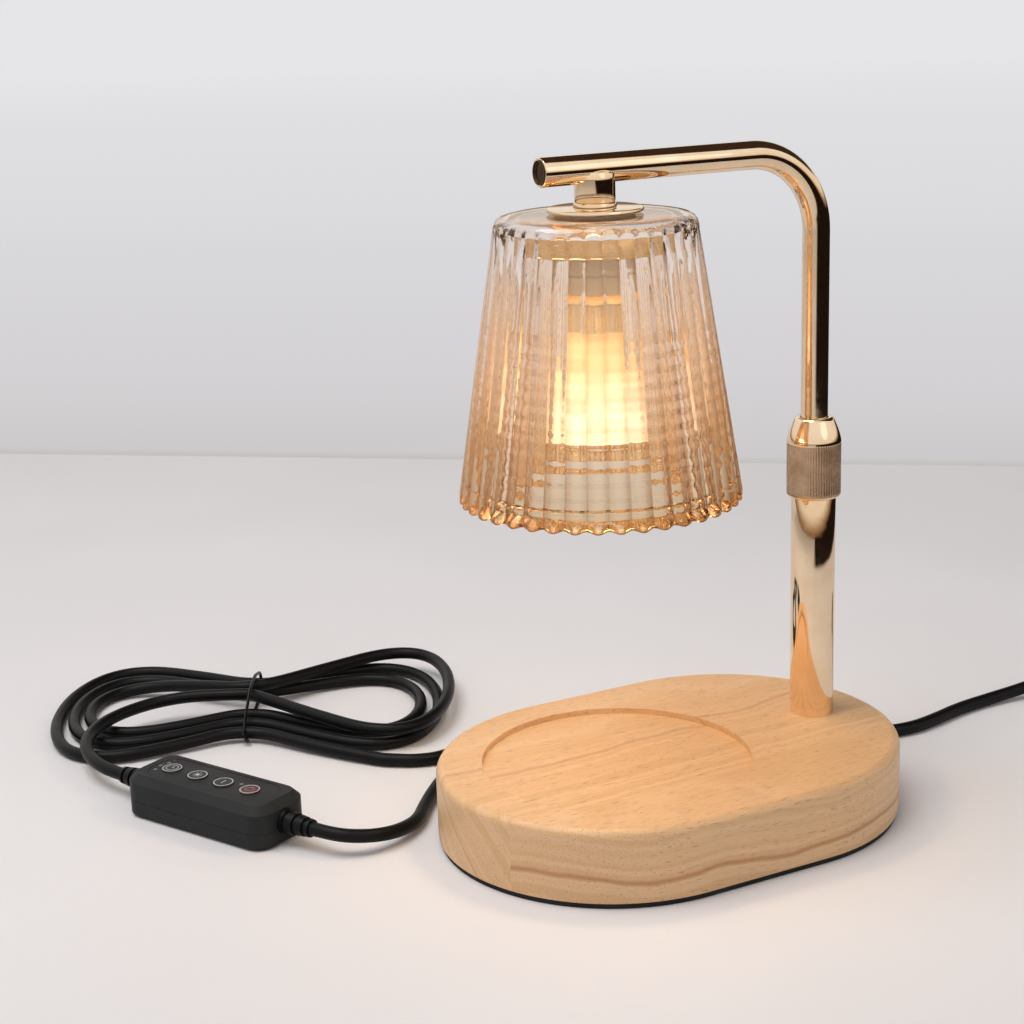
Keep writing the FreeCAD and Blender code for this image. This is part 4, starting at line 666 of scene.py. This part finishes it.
# CAD pieces that keep their shape get their finish
for names, material in (
        (("wood_base",), wood), (("foot_pad",), foam), (("top_gasket",), silicone), (("bulb_neck",), ceramic),
        (("switch_top_shell", "switch_bottom_shell"), switch_black), (("switch_panel",), panel_black),
        (("button_timer", "button_brighter", "button_dimmer"), button_black), (("button_power",), power_red),
        (("indicator_leds",), mark_grey), (("circuit_board", "button_domes"), laminate),
        (("cord_gland", "relief_lamp_side", "relief_plug_side", "plug_strain_relief", "plug_body",
          "arm_lead"), cord_black),
        (("plug_blades",), brass), (("split_collet", "arm_guide_bush", "terminal_block"), acetal),
        (("post_bush", "post_stem", "post_washer", "post_nut", "holder_stem", "holder_nut", "socket_brackets",
          "shell_screws"), steel)):
    for name in names:
        mesh = NODES[name].data
        mesh.materials.clear()
        mesh.materials.append(material)
        for face in mesh.polygons:
            face.material_index = 0


# Printing on the switch: a ring and a plain sign on each button
BUTTON_TOP = 18.8


def printed_ring(name, along, outer, inner, body, material=print_grey):
    x, y, _ = over_switch(along, 0, 0)
    low, brow, high = BUTTON_TOP - 0.02, BUTTON_TOP + 0.035, BUTTON_TOP + 0.05
    ring = lathe(name, [(inner, low), (inner, brow), (inner + 0.04, high), (outer - 0.04, high),
                        (outer, brow), (outer, low)], x, y, 48, closed=True)
    dress(ring, material, body)


def printed_bar(name, along, across, long, wide, turn, body, material=print_grey, top=BUTTON_TOP):
    """A raised printed stroke with softened edges, turned within the switch's face."""
    pick_none()
    bpy.ops.mesh.primitive_cube_add(size=1)
    bar = bpy.context.object
    bar.name = bar.data.name = name
    bar.data.transform(Matrix.Translation(mm(*over_switch(along, across, top + 0.015)))
                       @ Matrix.Rotation(SWITCH_TURN + turn, 4, "Z")
                       @ Matrix.Diagonal((long * MM, wide * MM, 0.07 * MM, 1)))
    bpy.ops.object.mode_set(mode="EDIT")
    bpy.ops.mesh.select_all(action="SELECT")
    bpy.ops.mesh.bevel(offset=0.02 * MM, segments=2, affect="EDGES")
    bpy.ops.object.mode_set(mode="OBJECT")
    dress(bar, material, body)


BUTTONS = {"button_timer": -23.2, "button_brighter": -8.8, "button_dimmer": 5.6, "button_power": 20.0}
for name, along in BUTTONS.items():
    printed_ring(name + "_ring", along, 4.1, 3.7, name)
printed_ring("timer_dial", BUTTONS["button_timer"], 2.7, 2.4, "button_timer")
printed_bar("timer_hand_long", BUTTONS["button_timer"], 0.75, 1.6, 0.3, math.pi / 2, "button_timer")
printed_bar("timer_hand_short", BUTTONS["button_timer"] + 0.5, 0, 1.1, 0.3, 0, "button_timer")
printed_ring("sun_disc", BUTTONS["button_brighter"], 0.95, 0.1, "button_brighter")
for ray in range(8):
    turn = ray * math.pi / 4
    along = BUTTONS["button_brighter"] + 1.75 * math.cos(turn)
    printed_bar(f"sun_ray_{ray}", along, 1.75 * math.sin(turn), 0.7, 0.28, turn, "button_brighter")
printed_bar("dimmer_dash", BUTTONS["button_dimmer"], 0, 2.9, 0.42, math.pi / 2, "button_dimmer")
printed_ring("power_circle", BUTTONS["button_power"], 1.9, 1.55, "button_power", mark_grey)
printed_bar("power_stroke", BUTTONS["button_power"], 1.5, 1.7, 0.38, math.pi / 2, "button_power", mark_grey)
for at, (along, across) in enumerate(((-29.0, -5.6), (-30.0, 0), (-29.0, 5.6))):
    printed_bar(f"scale_mark_{at}", along, across + 1.6, 1.3, 0.3, 0.4, "base", mark_grey, 18.3)

# Cords dressed
for piece in (lamp_cord, hank_cord, wire_tie):
    dress(piece, cord_black, "base")
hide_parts("cord_lamp_to_switch")
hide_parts("cord_switch_to_hank", "cord_hank", "cord_to_plug")
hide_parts("twist_tie")
tuple(mm(*LAMP_ROUTE[0]))
tuple(mm(*HANK_ROUTE[0]))

# Pale table with a paler wall behind its far edge, painted on one floor. The edge is FAR_EDGE mm away
# along FAR_WAY, and TO_RIGHT points to the photograph's right
FAR_EDGE, FAR_WAY, TO_RIGHT = 588.8, (0.6178, 0.7863, 0), (0.8815, -0.4712, 0)


def table_top():
    """Matte white laminate; past the table's far edge it takes the wall's pale grey."""
    material, tree, shader, place = finish("white_table", Roughness=0.6, Specular_IOR_Level=0.2)
    mottle = add(tree, "ShaderNodeTexNoise", {"Scale": 0.004, "Detail": 2.0},
                 {"Vector": place}).outputs["Fac"]
    white = add(tree, "ShaderNodeValToRGB", {"stops": ((0.3, "#E6E4E7"), (0.7, "#ECEAED"))},
                {0: mottle}).outputs[0]
    tree.links.new(white, shader.inputs["Base Color"])
    # the wall is painted light, paler higher up, above a soft darker line of painted shade where it meets the
    # table
    along = add(tree, "ShaderNodeVectorMath", {"operation": "DOT_PRODUCT", 1: FAR_WAY},
                {0: place}).outputs["Value"]
    past = add(tree, "ShaderNodeMath", {"operation": "SUBTRACT", 1: FAR_EDGE}, {0: along}).outputs[0]
    climb = add(tree, "ShaderNodeMapRange", {1: 0.0, 2: 6000.0}, {0: past}).outputs[0]
    wall_light_and_shade = add(tree, "ShaderNodeValToRGB", {"stops": (
        (0.0, "#C2BDB9"), (0.004, "#CDCACB"), (0.05, "#D4D2D4"), (0.25, "#DCDBDD"), (1.0, "#E6E5E7"))},
                    {0: climb}).outputs[0]
    wall = add(tree, "ShaderNodeEmission", links={"Color": wall_light_and_shade}).outputs[0]
    on_wall = add(tree, "ShaderNodeMapRange", {1: 0.0, 2: 5.0}, {0: past}).outputs[0]
    backed = add(tree, "ShaderNodeMixShader", links={0: on_wall, 1: shader.outputs[0], 2: wall}).outputs[0]
    # reflections that haven't come through glass find a dark stretch of room right of the table
    reach = add(tree, "ShaderNodeVectorMath", {"operation": "LENGTH"}, {0: place}).outputs["Value"]
    dark = add(tree, "ShaderNodeMapRange", {1: 640.0, 2: 700.0}, {0: reach}).outputs[0]
    right_side = add(tree, "ShaderNodeVectorMath", {"operation": "DOT_PRODUCT", 1: TO_RIGHT},
                     {0: place}).outputs["Value"]
    right_share = add(tree, "ShaderNodeMapRange", {1: -60.0, 2: 160.0}, {0: right_side}).outputs[0]
    ray = add(tree, "ShaderNodeLightPath")
    outside = add(tree, "ShaderNodeMath", {"operation": "LESS_THAN", 1: 0.5},
                  {0: ray.outputs["Transmission Depth"]}).outputs[0]
    mirrored = add(tree, "ShaderNodeMath", {"operation": "MULTIPLY"},
                   {0: outside, 1: ray.outputs["Is Glossy Ray"]}).outputs[0]
    dark_right = add(tree, "ShaderNodeMath", {"operation": "MULTIPLY"}, {0: dark, 1: right_share}).outputs[0]
    off = add(tree, "ShaderNodeMath", {"operation": "MULTIPLY"}, {0: dark_right, 1: mirrored}).outputs[0]
    room = add(tree, "ShaderNodeEmission", {"Color": hex_colour("#1E1612")}).outputs[0]
    mixed = add(tree, "ShaderNodeMixShader", links={0: off, 1: backed, 2: room}).outputs[0]
    tree.links.new(mixed, tree.nodes["Material Output"].inputs["Surface"])
    return material


pick_none()
bpy.ops.mesh.primitive_plane_add(size=120)
floor = bpy.context.object
floor.name = "table"
floor.data.materials.append(table_top())

# Room: even pale light. Reflections find a dim line at the horizon and, where they haven't come through
# glass, a dark patch of ceiling; the eye sees a pale wall
OVERHEAD = (0.581, 0.271, 0.768)
world = bpy.data.worlds.new("studio")
bpy.context.scene.world = world
world.use_nodes = True
room = world.node_tree
room.nodes.clear()
ray = add(room, "ShaderNodeLightPath")
way = add(room, "ShaderNodeTexCoord").outputs["Generated"]
upness = add(room, "ShaderNodeSeparateXYZ", links={0: way}).outputs[2]
around = add(room, "ShaderNodeValToRGB",
             {"stops": ((0.0, "#6E523C"), (0.035, "#A98C70"), (0.1, "#F3EDE4"), (0.6, "#FFFFFF"))},
             {0: upness}).outputs[0]
overhead = add(room, "ShaderNodeVectorMath", {"operation": "DOT_PRODUCT", 1: OVERHEAD},
               {0: way}).outputs["Value"]
overhead_dark = add(room, "ShaderNodeMapRange", {1: 0.745, 2: 0.79}, {0: overhead}).outputs[0]
outside = add(room, "ShaderNodeMath", {"operation": "LESS_THAN", 1: 0.5},
              {0: ray.outputs["Transmission Depth"]}).outputs[0]
ceiling = add(room, "ShaderNodeMath", {"operation": "MULTIPLY"}, {0: overhead_dark, 1: outside}).outputs[0]
seen = add(room, "ShaderNodeMix", {"data_type": "RGBA", 7: hex_colour("#3A2C23")},
           {0: ceiling, 6: around}).outputs[2]
even = add(room, "ShaderNodeBackground", {"Color": hex_colour("#FAF7F4"), "Strength": 0.47}).outputs[0]
reflected = add(room, "ShaderNodeBackground", {"Strength": 1.0}, {"Color": seen}).outputs[0]
wall = add(room, "ShaderNodeBackground", {"Color": hex_colour("#E2E2E6"), "Strength": 1.0}).outputs[0]
looked_at = add(room, "ShaderNodeMath", {"operation": "MAXIMUM"},
                {0: ray.outputs["Is Camera Ray"], 1: ray.outputs["Is Transmission Ray"]}).outputs[0]
bounced = add(room, "ShaderNodeMixShader",
              links={0: ray.outputs["Is Glossy Ray"], 1: even, 2: reflected}).outputs[0]
shown = add(room, "ShaderNodeMixShader", links={0: looked_at, 1: bounced, 2: wall}).outputs[0]
room.links.new(shown, add(room, "ShaderNodeOutputWorld").inputs["Surface"])


def soft_lamp(name, spot, aim, size, watts, tint):
    light = bpy.data.lights.new(name, "AREA")
    light.shape, light.size, light.energy, light.color = "DISK", size, watts, hex_colour(tint)[:3]
    lamp = bpy.data.objects.new(name, light)
    bpy.context.collection.objects.link(lamp)
    lamp.location = spot
    lamp.rotation_euler = (Vector(aim) - Vector(spot)).to_track_quat("-Z", "Y").to_euler()


soft_lamp("key_light", (-0.55, 0.12, 1.5), (0, 0.02, 0.05), 1.1, 13.2, "#FFFCF8")
soft_lamp("fill_light", (0.5, -1.5, 1.0), (0, 0, 0.1), 1.0, 1.0, "#F4F6FF")

pick_none()
